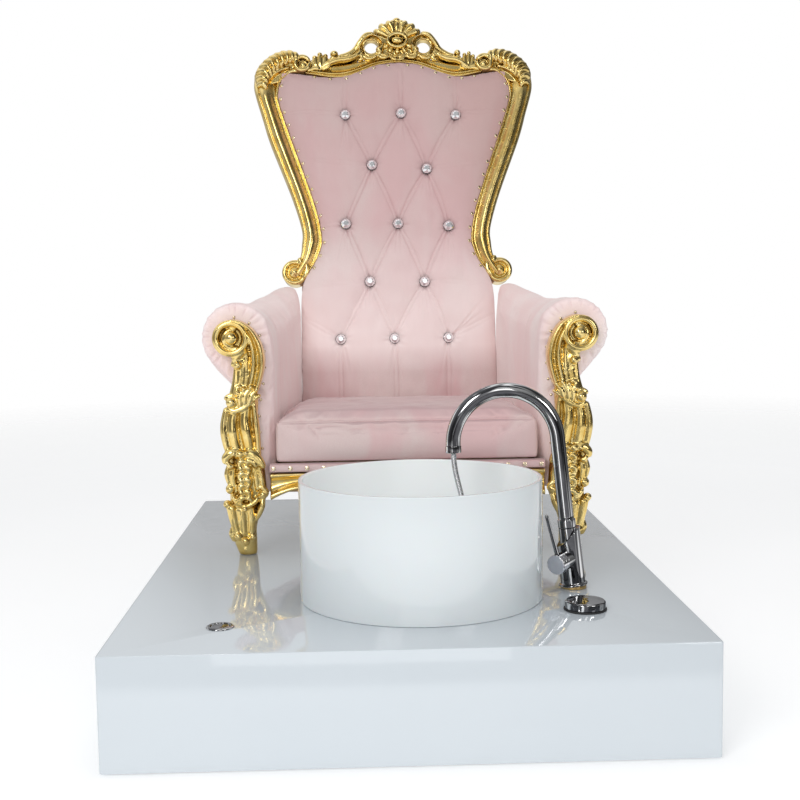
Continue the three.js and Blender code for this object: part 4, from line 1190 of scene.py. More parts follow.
def build_seat_cushion():
    """A box cushion with a crowned top, a border panel and piped seams."""
    front, rear, low, top = SEAT["front"] + 4, SEAT["rear"], SEAT["bottom"] + 1, SEAT["top"] - 4
    levels = [(60, low), (20, low), (3, low + 1), (1, low + 4), (0, low + 30), (0, top - 26), (0, top - 4), (2, top - 1),
              (8, top), (16, top + 2), (60, top + 7), (120, top + 9)]
    rings = []
    for inset, z in levels:
        plan = rounded_plan(inset + 0.8, front + inset, rear - inset, 6)
        rings += [(x, y, z) for x, y in plan]
    pad = make("seat_cushion_soft", rings, ring_faces(len(levels), 240), CHAIR)
    inflate(pad, 12, pressure=3.0, voxel=4.4, hold=lambda p: Vector(p).z < DECK + (SEAT["bottom"] + 4) * MM)
    subdivide(pad)
    points, normals = local_points(pad, CHAIR), normals_of(pad, CHAIR)
    x, y, z = points.T
    seam = np.exp(-(((z - (top - 3)) / 3.2) ** 2)) * (np.abs(normals[:, 2]) < 0.92)
    face = np.clip((SEAT["front"] + 60 - y) / 40, 0, 1)
    pull = 0.8 * np.sin(x / 9 + 2 * np.sin(x / 47)) * np.exp(-(((z - (top - 12)) / 14) ** 2)) * face
    crown = (normals[:, 2] > 0.5) * (1.3 * ripples(x, y, 150, 21) + 0.5 * ripples(x, y, 45, 22))
    points = points + normals * (pull + crown - 2.2 * seam)[:, None]
    points[:, 1] = np.maximum(points[:, 1], SEAT["front"] - 7)
    half = seat_half_at(points[:, 1]) - 0.6
    points[:, 0] = np.clip(points[:, 0], -half, half)
    points[:, 1] = np.minimum(points[:, 1], SEAT["rear"] + 2)
    points[:, 2] = np.maximum(points[:, 2], SEAT["bottom"] - 0.2)
    set_points(pad, points, CHAIR)
    finish_piece(crisp(pad, 0, 80), "base", VELVET, "pink_velvet", "seat_cushion")
    build_seat_piping(pad, top - 5)


def build_seat_piping(pad, height):
    """The thin covered cord in the seam under the cushion's top edge."""
    tree = surface_finder(pad)
    path = []
    for x in np.linspace(-SEAT["half"] + 6, SEAT["half"] - 6, 160):
        start = CHAIR @ (Vector((x, SEAT["front"] - 60, height)) * MM)
        hit = tree.ray_cast(start, Vector((0, 1, 0)))[0]
        if hit is not None:
            path.append(tuple((CHAIR.inverted() @ hit) / MM))
    cord = make("seat_cushion_piping", *tube(path, 2.0, 12), CHAIR)
    return finish_piece(cord, "base", VELVET, "pink_velvet")


ARM_FRONT, ARM_BOTTOM, ROLL_END = 30, 130, -40
ARM_STATIONS = [(30, 366, 368, 472, 75), (150, 364, 366, 472, 74), (250, 354, 354, 476, 67), (340, 338, 328, 491, 56),
                (420, 314, 302, 520, 45), (483, 295, 281, 545, 36), (500, 282, 271, 556, 26)]


def arm_section(y, outer, roll_x, roll_z, roll_r, inset, count=150):
    """The arm's outline in X and Z at one depth, drawn in by an inset."""
    inner = max(float(seat_half_at(y)) + 5.5, 246.5)
    turn = np.radians(np.linspace(128, ROLL_END, 32))
    roll = [(roll_x + roll_r * math.cos(a), roll_z + roll_r * math.sin(a)) for a in turn]
    last_x, last_z = roll[-1]
    drop = (last_x - outer) / math.tan(math.radians(-ROLL_END))
    line = [(inner + 4, ARM_BOTTOM + 0.5), (inner, ARM_BOTTOM + 6), (inner, ARM_BOTTOM + 90),
            (inner, (ARM_BOTTOM + 90 + roll_z - roll_r) / 2), (inner, roll_z - roll_r), (inner + roll_r * 0.04, roll_z),
            (inner + roll_r * 0.16, roll_z + roll_r * 0.55)]
    line += roll + [(outer, last_z - drop), (outer, (last_z - drop + ARM_BOTTOM + 90) / 2), (outer, ARM_BOTTOM + 90),
                    (outer, ARM_BOTTOM + 6), (outer - 4, ARM_BOTTOM + 0.5)]
    closed = np.array(line + [line[0]])
    reach = np.concatenate([[0], np.cumsum(np.linalg.norm(np.diff(closed, axis=0), axis=1))])
    wanted = np.linspace(0, reach[-1], count + 1)[:-1]
    ring = np.column_stack([np.interp(wanted, reach, closed[:, k]) for k in (0, 1)])
    along = np.roll(ring, -1, 0) - np.roll(ring, 1, 0)
    along /= np.linalg.norm(along, axis=1)[:, None]
    outward_way = np.column_stack([-along[:, 1], along[:, 0]])
    return ring - outward_way * inset


def build_arm(side, hand):
    """A rolled arm: the cloth is gathered round the roll's front face and pulled down its inner side."""
    stations = np.array(ARM_STATIONS, float)
    depth = np.linspace(ARM_FRONT, 499, 54)
    track = np.column_stack([np.interp(depth, stations[:, 0], stations[:, k]) for k in range(1, 5)])
    kernel = np.array([1, 2, 3, 2, 1]) / 9
    for k in range(4):
        padded = np.pad(track[:, k], 2, mode="reflect", reflect_type="odd")
        track[:, k] = np.convolve(padded, kernel, mode="valid")
    edge = 12
    rings = []
    for inset in (26, 17):
        rings.append((ARM_FRONT + 1.5, track[0], inset))
    for a in np.linspace(0, math.pi / 2, 5):
        rings.append((ARM_FRONT + 1.5 + edge * (1 - math.cos(a)), track[0], edge * (1 - math.sin(a)) + 1.5))
    rings += [(y, row, 1.5) for y, row in zip(depth[2:], track[2:])]
    verts = []
    for y, row, inset in rings:
        verts += [(hand * x, y, z) for x, z in arm_section(y, *row, inset)]
    arm = make(f"arm_{side}_soft", verts, ring_faces(len(rings), 150), CHAIR)
    held = lambda p: Vector(p).z < DECK + (ARM_BOTTOM + 4) * MM
    inflate(arm, 6, pressure=2.0, voxel=5.0, hold=held, stiffness=20)
    subdivide(arm)
    points, normals = local_points(arm, CHAIR), normals_of(arm, CHAIR)
    x, y, z = points.T
    roll_x, roll_z, roll_r = 368, 472, 75
    away, angle = np.hypot(hand * x - roll_x, z - roll_z), np.arctan2(z - roll_z, hand * x - roll_x)
    at_front = np.exp(-np.clip(y - ARM_FRONT, 0, None) / 20)
    rim = np.exp(-(((away - 62) / 22) ** 2)) * at_front
    fold = np.sin(angle * 21 + 1.3 * np.sin(angle * 5 + hand)) + 0.5 * np.sin(angle * 34 + hand)
    soft = 1.5 * ripples(y, z, 130, 31 + hand) + 0.5 * ripples(y, z, 50, 35 + hand, stretch=2)
    below = np.clip((430 - z) / 120, 0, 1)
    streak = 0.9 * below * np.sin(y / 13 + 1.5 * np.sin(z / 70)) * np.exp(-((z - 250) / 160) ** 2)
    shift_out = 1.25 * fold * rim + (soft + streak) * (1 - 0.6 * at_front)
    points = points + normals * shift_out[:, None]
    inner = np.maximum(seat_half_at(points[:, 1]) + 1.0, 244.6)
    reach = np.maximum(hand * points[:, 0], inner)
    points[:, 0] = hand * reach
    points[:, 1] = np.maximum(points[:, 1], ARM_FRONT - 0.3)
    points[:, 2] = np.maximum(points[:, 2], ARM_BOTTOM)
    set_points(arm, points, CHAIR)
    return finish_piece(crisp(arm, 0, 80), "base", PAINTED_LIGHT_ARM_VELVET, "pink_velvet", f"arm_{side}")


def build_rail_strip():
    """The cloth-covered front rail, pulled tight between the nails."""
    width, low, high, rear = 296, 178.8, 196.2, 29.2
    count = 240
    across = np.linspace(-width, width, count)
    rings = []
    for x in across:
        tight = 0.9 * math.cos(2 * math.pi * x / 36)
        for a in np.linspace(-math.pi / 2, math.pi / 2, 9):
            z = (low + high) / 2 + math.sin(a) * (high - low) / 2
            rings.append((x, 12.5 - (5.2 + tight) * math.cos(a) ** 0.6, z))
        rings += [(x, rear, high), (x, rear, low)]
    strip = make("front_rail_strip", rings, ring_faces(count, 11), CHAIR)
    return finish_piece(crisp(strip, 0, 50), "base", VELVET, "pink_velvet", "front_rail_cover")


def build_outer_back():
    """The plain upholstered outside of the back, slightly padded, with a welt cord round it."""
    waist = [(186, -160), (186, -80), (187, 0), (230, 12), (239, 60), (241, 240), (243, 285), (232, 345), (226, 426), (246, 500),
             (288, 620), (312, 700), (334, 800), (322, 850), (290, 868), (230, 856), (160, 852), (80, 868), (0, 876)]
    right = even(waist, 160)
    line = np.vstack([right, right[::-1][1:] * (-1, 1), [(0, -160)]])
    centre = np.array((0, 360))
    levels = [(0.0, 45.5), (0.0, 52), (0.012, 55.5), (0.03, 57.2), (0.1, 58.6), (0.3, 60), (0.6, 61), (0.85, 61.5)]
    rings = []
    for share, y in levels:
        rings += [(x, y, z) for x, z in line + (centre - line) * share]
    panel = make("outer_back_upholstery", rings, ring_faces(len(levels), len(line)), BACK)
    outward(panel)
    finish_piece(crisp(panel, 0, 60), "base", SHADED_OUTER_VELVET, "pink_velvet", "outer_back_panel")
    cord_line = np.vstack([line[:-1], line[:1]])
    path = [(x, 55.5, z) for x, z in line[:-1] * (0.992, 0.996) + (0, 1.2)]
    cord = make("outer_back_welt", *tube(path, 3.2, 12), BACK)
    finish_piece(cord, "base", SHADED_OUTER_VELVET, "pink_velvet")


# ---------------------------------------------------------------- nails
def surface_finder(obj):
    from mathutils.bvhtree import BVHTree

    graph = bpy.context.evaluated_depsgraph_get()
    return BVHTree.FromObject(obj, graph)


def nail_heads(name, spots, place, obj, toward=(0, 1, 0), radius=4.8):
    """Domed nail heads that sit on a soft piece; spots are [x, y, z] in front of it."""
    tree = surface_finder(obj)
    turn = place.to_3x3()
    parts = []
    for spot in spots:
        start = place @ (Vector(spot) * MM)
        hit, normal, _, _ = tree.ray_cast(start, turn @ Vector(toward))
        if hit is None:
            continue
        face = normal.normalized()
        upright = Vector((0, 0, 1)).rotation_difference(face).to_matrix().to_4x4()
        dome = [(0, -1.6), (radius, -1.2), (radius, 0.1), (radius * 0.86, 1.3), (radius * 0.55, 2.2), (0, 2.6)]
        verts, faces = turned(rounded(dome, 0.4, 2), 20)
        matrix = Matrix.Translation(hit) @ upright
        parts.append(([np.array(matrix @ (Vector(v) * MM)) / MM for v in verts], faces))
    nails = make(name, *gather(*parts), Matrix.Identity(4))
    return finish_piece(nails, "base", NAIL, "gold_leaf")


def build_nails(back, arms, strip):
    def along(line, spacing):
        fine = curve_through(line, 60 * len(line))
        reach = np.concatenate([[0], np.cumsum(np.linalg.norm(np.diff(fine, axis=0), axis=1))])
        wanted = np.arange(spacing / 2, reach[-1], spacing)
        return [(np.interp(d, reach, fine[:, 0]), np.interp(d, reach, fine[:, 1])) for d in wanted]

    side = along([(x - 6.5, z) for x, z in INNER_EDGE], 35)
    over = along([(x, z - 7) for x, z in CREST_UNDER], 37)
    spots = [(h * x, -90, z) for x, z in side for h in (-1, 1)]
    spots += [(float(off_centre(h * x)), -90, z) for x, z in over for h in (-1, 1)]
    nail_heads("nails_back", spots, BACK, back)
    spots = [(x, -20, 187.5) for x in np.arange(-288, 289, 36)]
    nail_heads("nails_front_rail", spots, CHAIR, strip)
    for arm, hand in arms:
        inner = along([(310, 212), (316, 260), (317, 300), (312, 342), (305, 380), (303, 418), (305, 449), (314, 476),
                       (331, 497), (353, 509), (378, 512), (399, 504)], 35)
        spots = [(hand * x, -20, z) for x, z in inner]
        nail_heads("nails_arm_" + ("right" if hand > 0 else "left"), spots, CHAIR, arm, radius=3.4)


def build_upholstery():
    back = build_back_cushion()
    build_crystals()
    build_seat_cushion()
    arms = [(build_arm(side, hand), hand) for side, hand in (("left", -1), ("right", 1))]
    strip = build_rail_strip()
    build_outer_back()
    build_nails(back, arms, strip)


def build_hidden_frame():
    dressed("seat_frame", TIMBER, "timber", bevel=1.5)
    dressed("seat_deck", PLY, "plywood", bevel=0.6)
    dressed("back_board", PLY, "plywood", bevel=0.6)


# ---------------------------------------------------------------- carved and gilded wood
def both_sides(points):
    """An edge of the right half, carried on over the left half."""
    return points + [(-x, z) for x, z in points[::-1] if x > 1e-6]


def circle(x, z, radius, start=0.0, end=360.0, count=40, squash_z=1.0):
    angles = np.radians(np.linspace(start, end, count))
    return [(x + radius * math.cos(a), z + radius * squash_z * math.sin(a)) for a in angles]


def oval_limb(stations, count, sides=48, rear=None):
    """An upright limb with oval sections. Each station is [z, x, y, half width, half depth]."""
    track = curve_through(stations, count)
    verts = []
    for z, x, y, w, d in track:
        for a in np.linspace(0, 2 * math.pi, sides, endpoint=False):
            back = y + d * math.sin(a)
            verts.append((x + w * math.cos(a), min(back, rear) if rear and z > 129 else back, z))
    return verts, ring_faces(count, sides)


POST_STATIONS = [
    (0.4, 348, 30, 19, 19), (14, 350, 28, 22, 22), (34, 353, 27, 25, 23), (60, 351, 30, 23, 24), (90, 350, 34, 31, 30),
    (128, 345, 35, 40, 36), (160, 342, 34, 37, 36), (190, 346, 32, 38, 33), (225, 353, 23, 36, 22), (262, 356, 17, 37, 14),
    (300, 352, 17, 33, 12), (340, 348, 17, 31, 12), (375, 342, 17, 25, 11), (425, 334, 17, 22, 11), (452, 338, 17, 24, 11),
]


def carve_post():
    c = Carving()
    c.add(oval_limb(POST_STATIONS, 60, rear=29.2))
    x, z = 371, 468
    # The volute: a thick disc, its raised rim, a hollow, an inner coil and a polished ball.
    c.slab(circle(x, z, 37, count=64)[:-1], 5, 28)
    c.flat(circle(x, z, 31.5, -25, 360, 70), -1, [6.2, 6.2], [10, 10], 110)
    c.flat(circle(x - 5, z - 1, 20, 110, -120, 40), 0, [2.4, 4.4, 3.4], [7, 10, 7], 60)
    c.ball(x - 1, -2, z + 1, 15.5, 14)
    # The strap that sweeps from the volute down the inner side, with a rim, a hollow and a ridge.
    rim = [(384, 503), (366, 508), (346, 503), (325, 488), (309, 462), (301, 434), (301, 408), (306, 384), (314, 358)]
    inside = [(384, 497), (368, 497), (353, 488), (341, 474), (334, 455), (331, 431), (333, 407), (337, 384), (342, 358)]
    c.sweep(rim, inside, [(0, -8), (0.04, 4), (0.13, 9.5), (0.25, 9.5), (0.36, 4), (0.44, 0), (0.54, 2), (0.66, 8),
                          (0.8, 9), (0.92, 4), (1, -6)], 28, 80)
    # The leaf that curls under the volute, and the reeded shaft below it.
    c.flat([(340, 452), (350, 440), (360, 430), (364, 416)], 1, [5, 9, 8, 5], [6, 9, 9, 7])
    c.ball(357, -3, 411, 8.5, 9)
    c.flat(circle(357, 411, 11.5, 210, -20, 16), 2, [2.6, 3.4], [5, 6], 20)
    for top, low, w in (((362, 410), (372, 346), 5.0), ((350, 436), (362, 344), 7.4), ((340, 446), (347, 346), 6.4)):
        bow = ((top[0] + low[0]) / 2 - 3, (top[1] + low[1]) / 2)
        c.flat([top, bow, low], 5, [w * 0.7, w, w], [6, 8.5, 8], 34)
    carve_post_knot(c)
    carve_post_reeds(c)
    carve_post_cascade(c)
    carve_post_foot(c)
    return c


def carve_post_knot(c):
    """The acanthus knot half way up: a ball in a curl and leaves that turn over."""
    c.ball(373, -1, 332, 12, 12)
    c.flat(circle(373, 332, 15, 250, 20, 20), 2, [3, 4.4, 3.4], [5, 7.5, 6], 26)
    c.flat([(384, 322), (370, 314), (352, 318), (336, 328), (322, 340)], 2, [4, 6, 6.5, 5, 3], [6, 9, 10, 8, 5])
    for root, bend, tip, w in (
        ((352, 322), (355, 342), (345, 360), 6.5),
        ((344, 326), (343, 346), (330, 364), 6.5),
        ((334, 328), (330, 346), (317, 360), 6),
        ((326, 334), (320, 342), (312, 346), 4.5),
    ):
        c.flat([root, bend, tip], -1, [w * 0.6, w, w * 0.7], [8, 11, 8], 18)
        c.flat([root, ((root[0] + bend[0]) / 2 + 5, bend[1] - 4), (tip[0] + 9, tip[1] - 2)], 1, [2, 3, 2], [8, 9, 7], 14)
        c.ball(tip[0] + 1, -5, tip[1], w * 0.85, 8)
    c.ball(359, -4, 352, 7, 8)
    c.flat([(366, 344), (360, 362), (350, 368)], 0, [4, 4.5, 3], [7, 8, 6], 16)


def carve_post_reeds(c):
    """Two broad and two narrow reeds over the swelling shaft, and the leaf collar they end in."""
    for line, w in (
        ([(384, 322), (391, 284), (388, 248), (379, 214)], 6.6),
        ([(366, 324), (373, 288), (370, 250), (359, 214)], 10.0),
        ([(341, 330), (347, 292), (341, 252), (335, 212)], 10.4),
        ([(326, 336), (323, 300), (320, 258), (318, 212)], 5.4),
    ):
        c.flat(line, 5, [w * 0.7, w, w * 0.8], [8, 8 + w * 0.4, 9], 44)
    c.flat([(358, 218), (374, 224), (387, 214), (388, 200)], -1, [7, 8.5, 8, 5], [9, 11, 10, 7], 30)
    c.flat([(384, 206), (378, 196), (370, 200)], -4, [4, 5, 3], [8, 9, 6], 16)
    c.flat([(352, 220), (334, 222), (318, 208), (306, 190)], -1, [7, 8.5, 8, 4.5], [9, 11, 10, 7], 32)
    c.flat([(346, 210), (332, 206), (321, 192)], -4, [5, 6, 3.5], [9, 10, 7], 20)
    for bx, bz, size in ((357, 222, 9), (344, 224, 6), (370, 223, 6)):
        c.ball(bx, -6, bz, size, 9)


def carve_post_cascade(c):
    """Husks and berries that fall down the knee between two balls, and the swag under them."""
    for k in range(7):
        z, hand = 208 - 13 * k, (-1) ** k
        root = 349 - hand * 3
        c.flat([(root, z), (root + hand * 11, z - 3), (root + hand * 13, z - 17)], -3, [5, 6.5, 3.4], [9, 11, 7], 22)
        c.ball(root - hand * 4, -5, z - 3, 5.6, 9)
        c.ball(root + hand * 12, -6, z - 14, 4.2, 7)
    for line, w in (
        ([(331, 204), (325, 172), (322, 140)], 6.6),
        ([(319, 196), (313, 168), (311, 142)], 4.8),
        ([(370, 204), (375, 176), (371, 150)], 7.0),
        ([(383, 198), (387, 178), (383, 156)], 4.8),
    ):
        c.flat(line, 5, [w * 0.7, w, w * 0.7], [8, 10, 8], 26)
    c.ball(380, 4, 146, 11, 12)
    c.flat(circle(380, 146, 13.5, 230, 60, 16), 5, [2.6, 3.4, 2.4], [6, 8, 6], 20)
    c.ball(311, 4, 133, 9.5, 11)
    c.flat([(322, 150), (312, 148), (303, 138), (306, 126)], 3, [3, 4.4, 4, 2.6], [6, 8, 7, 5], 18)
    c.flat([(376, 134), (366, 118), (348, 110), (330, 117), (320, 130)], 0, [4, 5, 5.6, 5, 4], [8, 10, 11, 10, 8], 34)
    c.ball(362, -5, 124, 5.5, 8)
    c.ball(337, -5, 124, 5.5, 8)
    c.ball(349, -7, 104, 6, 8)
    c.ball(389, 14, 112, 9, 12)


def carve_post_foot(c):
    """Reeds down the ankle, a long leaf on the inner side, and the balls over the turned foot."""
    for line, w in (
        ([(381, 110), (376, 82), (368, 46)], 8.2),
        ([(360, 106), (357, 78), (354, 42)], 8.6),
        ([(339, 108), (337, 80), (340, 44)], 7.2),
    ):
        c.flat(line, 10, [w * 1.05, w, w * 0.8], [9, 11, 9], 32)
    c.stroke([(311, 6, 130), (314, 2, 108), (322, 6, 88), (329, 12, 74)], [4, 5.5, 4.5, 2], [8, 10, 8, 4], 26)
    c.ball(366, 4, 43, 9.5, 10)
    c.ball(351, 2, 33, 9.5, 10)
    c.ball(374, 14, 42, 8, 9)
    c.ball(336, 9, 42, 8, 9)
    c.flat([(376, 66), (380, 48), (374, 30)], 12, [4, 6, 4], [7, 9, 7], 20)


def build_posts():
    for side, mirror in (("right", False), ("left", True)):
        post = carve_post().build(f"carved_post_{side}", CHAIR, 1.65, mirror)
        finish_piece(post, "base", GOLD, "gold_leaf", f"front_post_{side}")


LEG_STATIONS = [(0.4, 216, 612, 17, 19), (60, 216, 596, 18, 20), (130, 216, 562, 21, 23), (200, 216, 536, 21, 21),
                (281, 216, 532, 20, 20)]


def build_rear_legs():
    for side, mirror in (("right", False), ("left", True)):
        c = Carving()
        c.add(oval_limb(LEG_STATIONS, 50, 40))
        for shift_x in (-11, 0, 11):
            line = [(216 + shift_x, 553 - 0.12 * abs(shift_x) ** 1.4 * -1, 120), (216 + shift_x, 586, 60), (216 + shift_x, 600, 26)]
            c.stroke([(x, y + 22, z) for x, y, z in line], [3, 4, 3], [3, 4, 3], 20)
        c.add(shift(turned(rounded([(0, 0.4), (18, 0.4), (21, 4), (21, 12), (17, 17), (0, 17)], 2), 48), (216, 610, 0)))
        leg = c.build(f"carved_rear_leg_{side}", CHAIR, 2.2, mirror)
        finish_piece(leg, "base", GOLD, "gold_leaf", f"rear_leg_{side}")


APRON_ARCH = [(296, 118), (272, 130), (240, 140), (190, 142), (130, 134), (50, 118), (0, 108)]


def build_apron():
    c = Carving()
    top = both_sides([(296, 176.8), (150, 176.8), (0, 176.8)])
    profile = [(0, -14), (0.02, -8), (0.1, -4), (0.2, -5), (0.3, -11), (0.5, -17), (0.7, -15), (0.84, -8), (0.92, -6),
               (0.98, -8), (1, -14)]
    c.sweep(both_sides(APRON_ARCH), top, profile, 29.2, 180)
    for hand in (-1, 1):
        c.flat([(hand * 30, 112), (hand * 18, 126), (hand * 6, 140)], 8, [3, 4.5, 3], [5, 7, 5], 16)
        c.flat([(hand * 44, 120), (hand * 36, 138), (hand * 22, 150)], 9, [3, 4.5, 3], [5, 7, 5], 16)
        c.flat([(hand * 62, 128), (hand * 56, 146), (hand * 42, 158)], 10, [2.6, 4, 2.6], [5, 6, 4], 16)
        c.ball(hand * 7, 5, 143, 5, 6)
        c.ball(hand * 23, 6, 153, 4.4, 6)
        c.ball(hand * 42, 7, 160, 4, 6)
    c.flat([(0, 104), (0, 126), (0, 150)], 7, [5, 6, 3], [6, 8, 5], 20)
    c.ball(0, 4, 110, 8, 9)
    apron = c.build("carved_apron", CHAIR, 1.8)
    points = local_points(apron, CHAIR)
    points[:, 2] = np.minimum(points[:, 2], 177.2)
    set_points(apron, points, CHAIR)
    finish_piece(apron, "base", GOLD, "gold_leaf", "front_apron")


def rail_moulding():
    """The rail's long moulding: an inner bead, a cove, a broad torus and a rounded outer side."""
    c = Carving()
    inner = curve_through([(238, 296)] + INNER_EDGE[-2::-1] + [(264, 824)], 400)
    outer = [(262, 318), (246, 352), (241, 385), (241, 426), (266, 512), (318, 650), (338, 718), (357, 788), (358, 834)]
    profile = [(0, 18), (0.025, 19), (0.06, 19), (0.1, 17), (0.13, 14), (0.17, 13.4), (0.26, 16), (0.36, 20), (0.46, 23),
               (0.54, 24), (0.62, 23), (0.7, 20), (0.76, 15.5), (0.79, 12.5), (0.81, 12), (0.84, 13), (0.89, 12), (0.94, 8),
               (0.98, 1), (1, -8)]
    c.sweep(inner, outer, profile, 43, 180, sink=0.13)
    return c


def carve_rail():
    c = Carving()
    # The turned scroll at the foot of the rail.
    x, z = 259, 312
    c.slab(circle(x, z, 31, count=64)[:-1], -10, 43)
    c.flat(circle(x, z, 26, -20, 360, 60), -10, [5.0, 5.0], [8, 8], 90)
    c.ball(x, -11, z, 15, 8)
    c.ball(x, -17, z, 7, 6)
    c.flat([(236, 344), (228, 326), (231, 308), (240, 296)], -12, [5, 7, 7, 5], [8, 10, 10, 7], 28)
    c.flat([(248, 350), (244, 338), (247, 330)], -12, [4, 5, 3], [9, 10, 7], 16)
    carve_ear(c)
    return c


def carve_ear(c):
    """The ribbed shell over the rail's top corner and the small volute beside it."""
    body = [(285, 806), (342, 790), (350, 822), (341, 844), (323, 863), (299, 878), (268, 883), (240, 873), (222, 863),
            (216, 847), (222, 826), (262, 828)]
    c.slab(body, -6, 42)
    roots = even([(324, 782), (317, 808), (303, 828), (285, 841), (266, 850), (252, 857)], 10)
    brim = [(345, 796), (349, 822), (340, 844), (323, 862), (299, 877), (272, 883), (252, 876)]
    tips = even(brim, 10)
    for k, (root, tip) in enumerate(zip(roots, tips)):
        run = tip - root
        side = np.array((-run[1], run[0])) * 0.24
        w = 6.2 - 0.14 * k
        low, high = root + run * 0.3 + side, root + run * 0.68 + side
        c.stroke([(root[0], -9, root[1]), (low[0], -17, low[1]), (high[0], -15, high[1]), (tip[0], 2, tip[1])],
                 [w * 0.6, w * 0.85, w, w * 0.95], [8, 10, 10, 9], 34)
    # The plain rim behind the ribs, in two layers.
    c.flat(brim, 9, [4, 5, 5, 5, 5, 4], [13, 13, 13, 13], 60)
    c.flat(brim, 28, [4, 5, 5, 5, 5, 4], [14, 14, 14, 14], 60)
    # A thin stem along the ribs' feet, and the ringed volute with its ball.
    c.flat([(330, 772), (324, 794), (309, 818), (288, 833), (264, 840)], -9, [2.4, 3.4, 3.8, 3.6, 2.6], [6, 8, 9, 8, 6], 44)
    c.flat(circle(232, 848, 17.5, 165, -190, 40), -14, [4.6, 5.4, 4.6], [9, 11, 9], 60)
    c.ball(230, -16, 843, 9, 9)
    c.flat([(224, 826), (240, 829), (258, 830), (274, 822), (284, 808)], -8, [4, 4.6, 4.6, 4.4, 3.6], [7, 8, 8, 8, 6], 40)


def build_rails():
    for side, mirror in (("right", False), ("left", True)):
        rail = rail_moulding().plain(f"back_rail_moulding_{side}", BACK, mirror)
        finish_piece(rail, "base", PLAIN_GOLD, "gold_leaf", f"back_rail_{side}")
        ends = carve_rail().build(f"back_rail_carving_{side}", BACK, 1.5, mirror)
        finish_piece(ends, "base", GOLD, "gold_leaf")


def crest_moulding():
    """The double bead under the crest and the smooth dark cove above it."""
    c = Carving()
    under = both_sides([(224, 822)] + CREST_UNDER[1:])
    over = both_sides([(224, 846), (196, 846), (165, 845), (130, 848), (90, 858), (50, 868), (0, 872)])
    profile = [(0, 16), (0.03, 18), (0.08, 18.6), (0.16, 16.5), (0.22, 12.5), (0.25, 12), (0.31, 14.5), (0.38, 14), (0.44, 9.5),
               (0.5, 7), (0.7, 4), (0.9, 4), (1, 3)]
    c.sweep(under, over, profile, 37, 240)
    return c


def carve_crest():
    c = Carving()
    centre = [(40, 905), (50, 872), (84, 860), (84, 852), (-84, 852), (-84, 860), (-50, 872), (-40, 905), (-56, 934),
              (-24, 960), (0, 966), (24, 960), (56, 934)]
    c.slab(centre, -3, 36)
    for hand in (-1, 1):
        carve_crest_half(c, hand)
    # The cabochon in its oval ring, and the knob at the very top.
    c.flat(circle(0, 908, 24, -20, 360, 60, 0.72), -12, [3.6, 3.6], [7, 7], 90)
    c.add(ball((0, -9, 908), (16.5, 12, 10.5), 20, 32))
    c.add(ball((0, 12, 963), (12, 20, 11), 16, 24))
    c.flat([(0, 930), (0, 944), (0, 958)], -4, [3, 4, 5], [7, 9, 9], 20)
    for degrees in (-150, -120, -90, -60, -30):
        a = math.radians(degrees)
        lobe = [(r * math.cos(a), 908 + 0.75 * r * math.sin(a)) for r in (26, 36, 45)]
        c.flat(lobe, -3, [3.4, 5.4, 4], [6, 8, 6], 18)
    for hand in (-1, 1):
        c.ball(hand * 11, 2, 957, 8, 14)
        c.flat([(hand * 4, 930), (hand * 8, 944), (hand * 11, 956)], -2, [2.4, 3.4, 4.5], [7, 9, 9], 18)
    return c


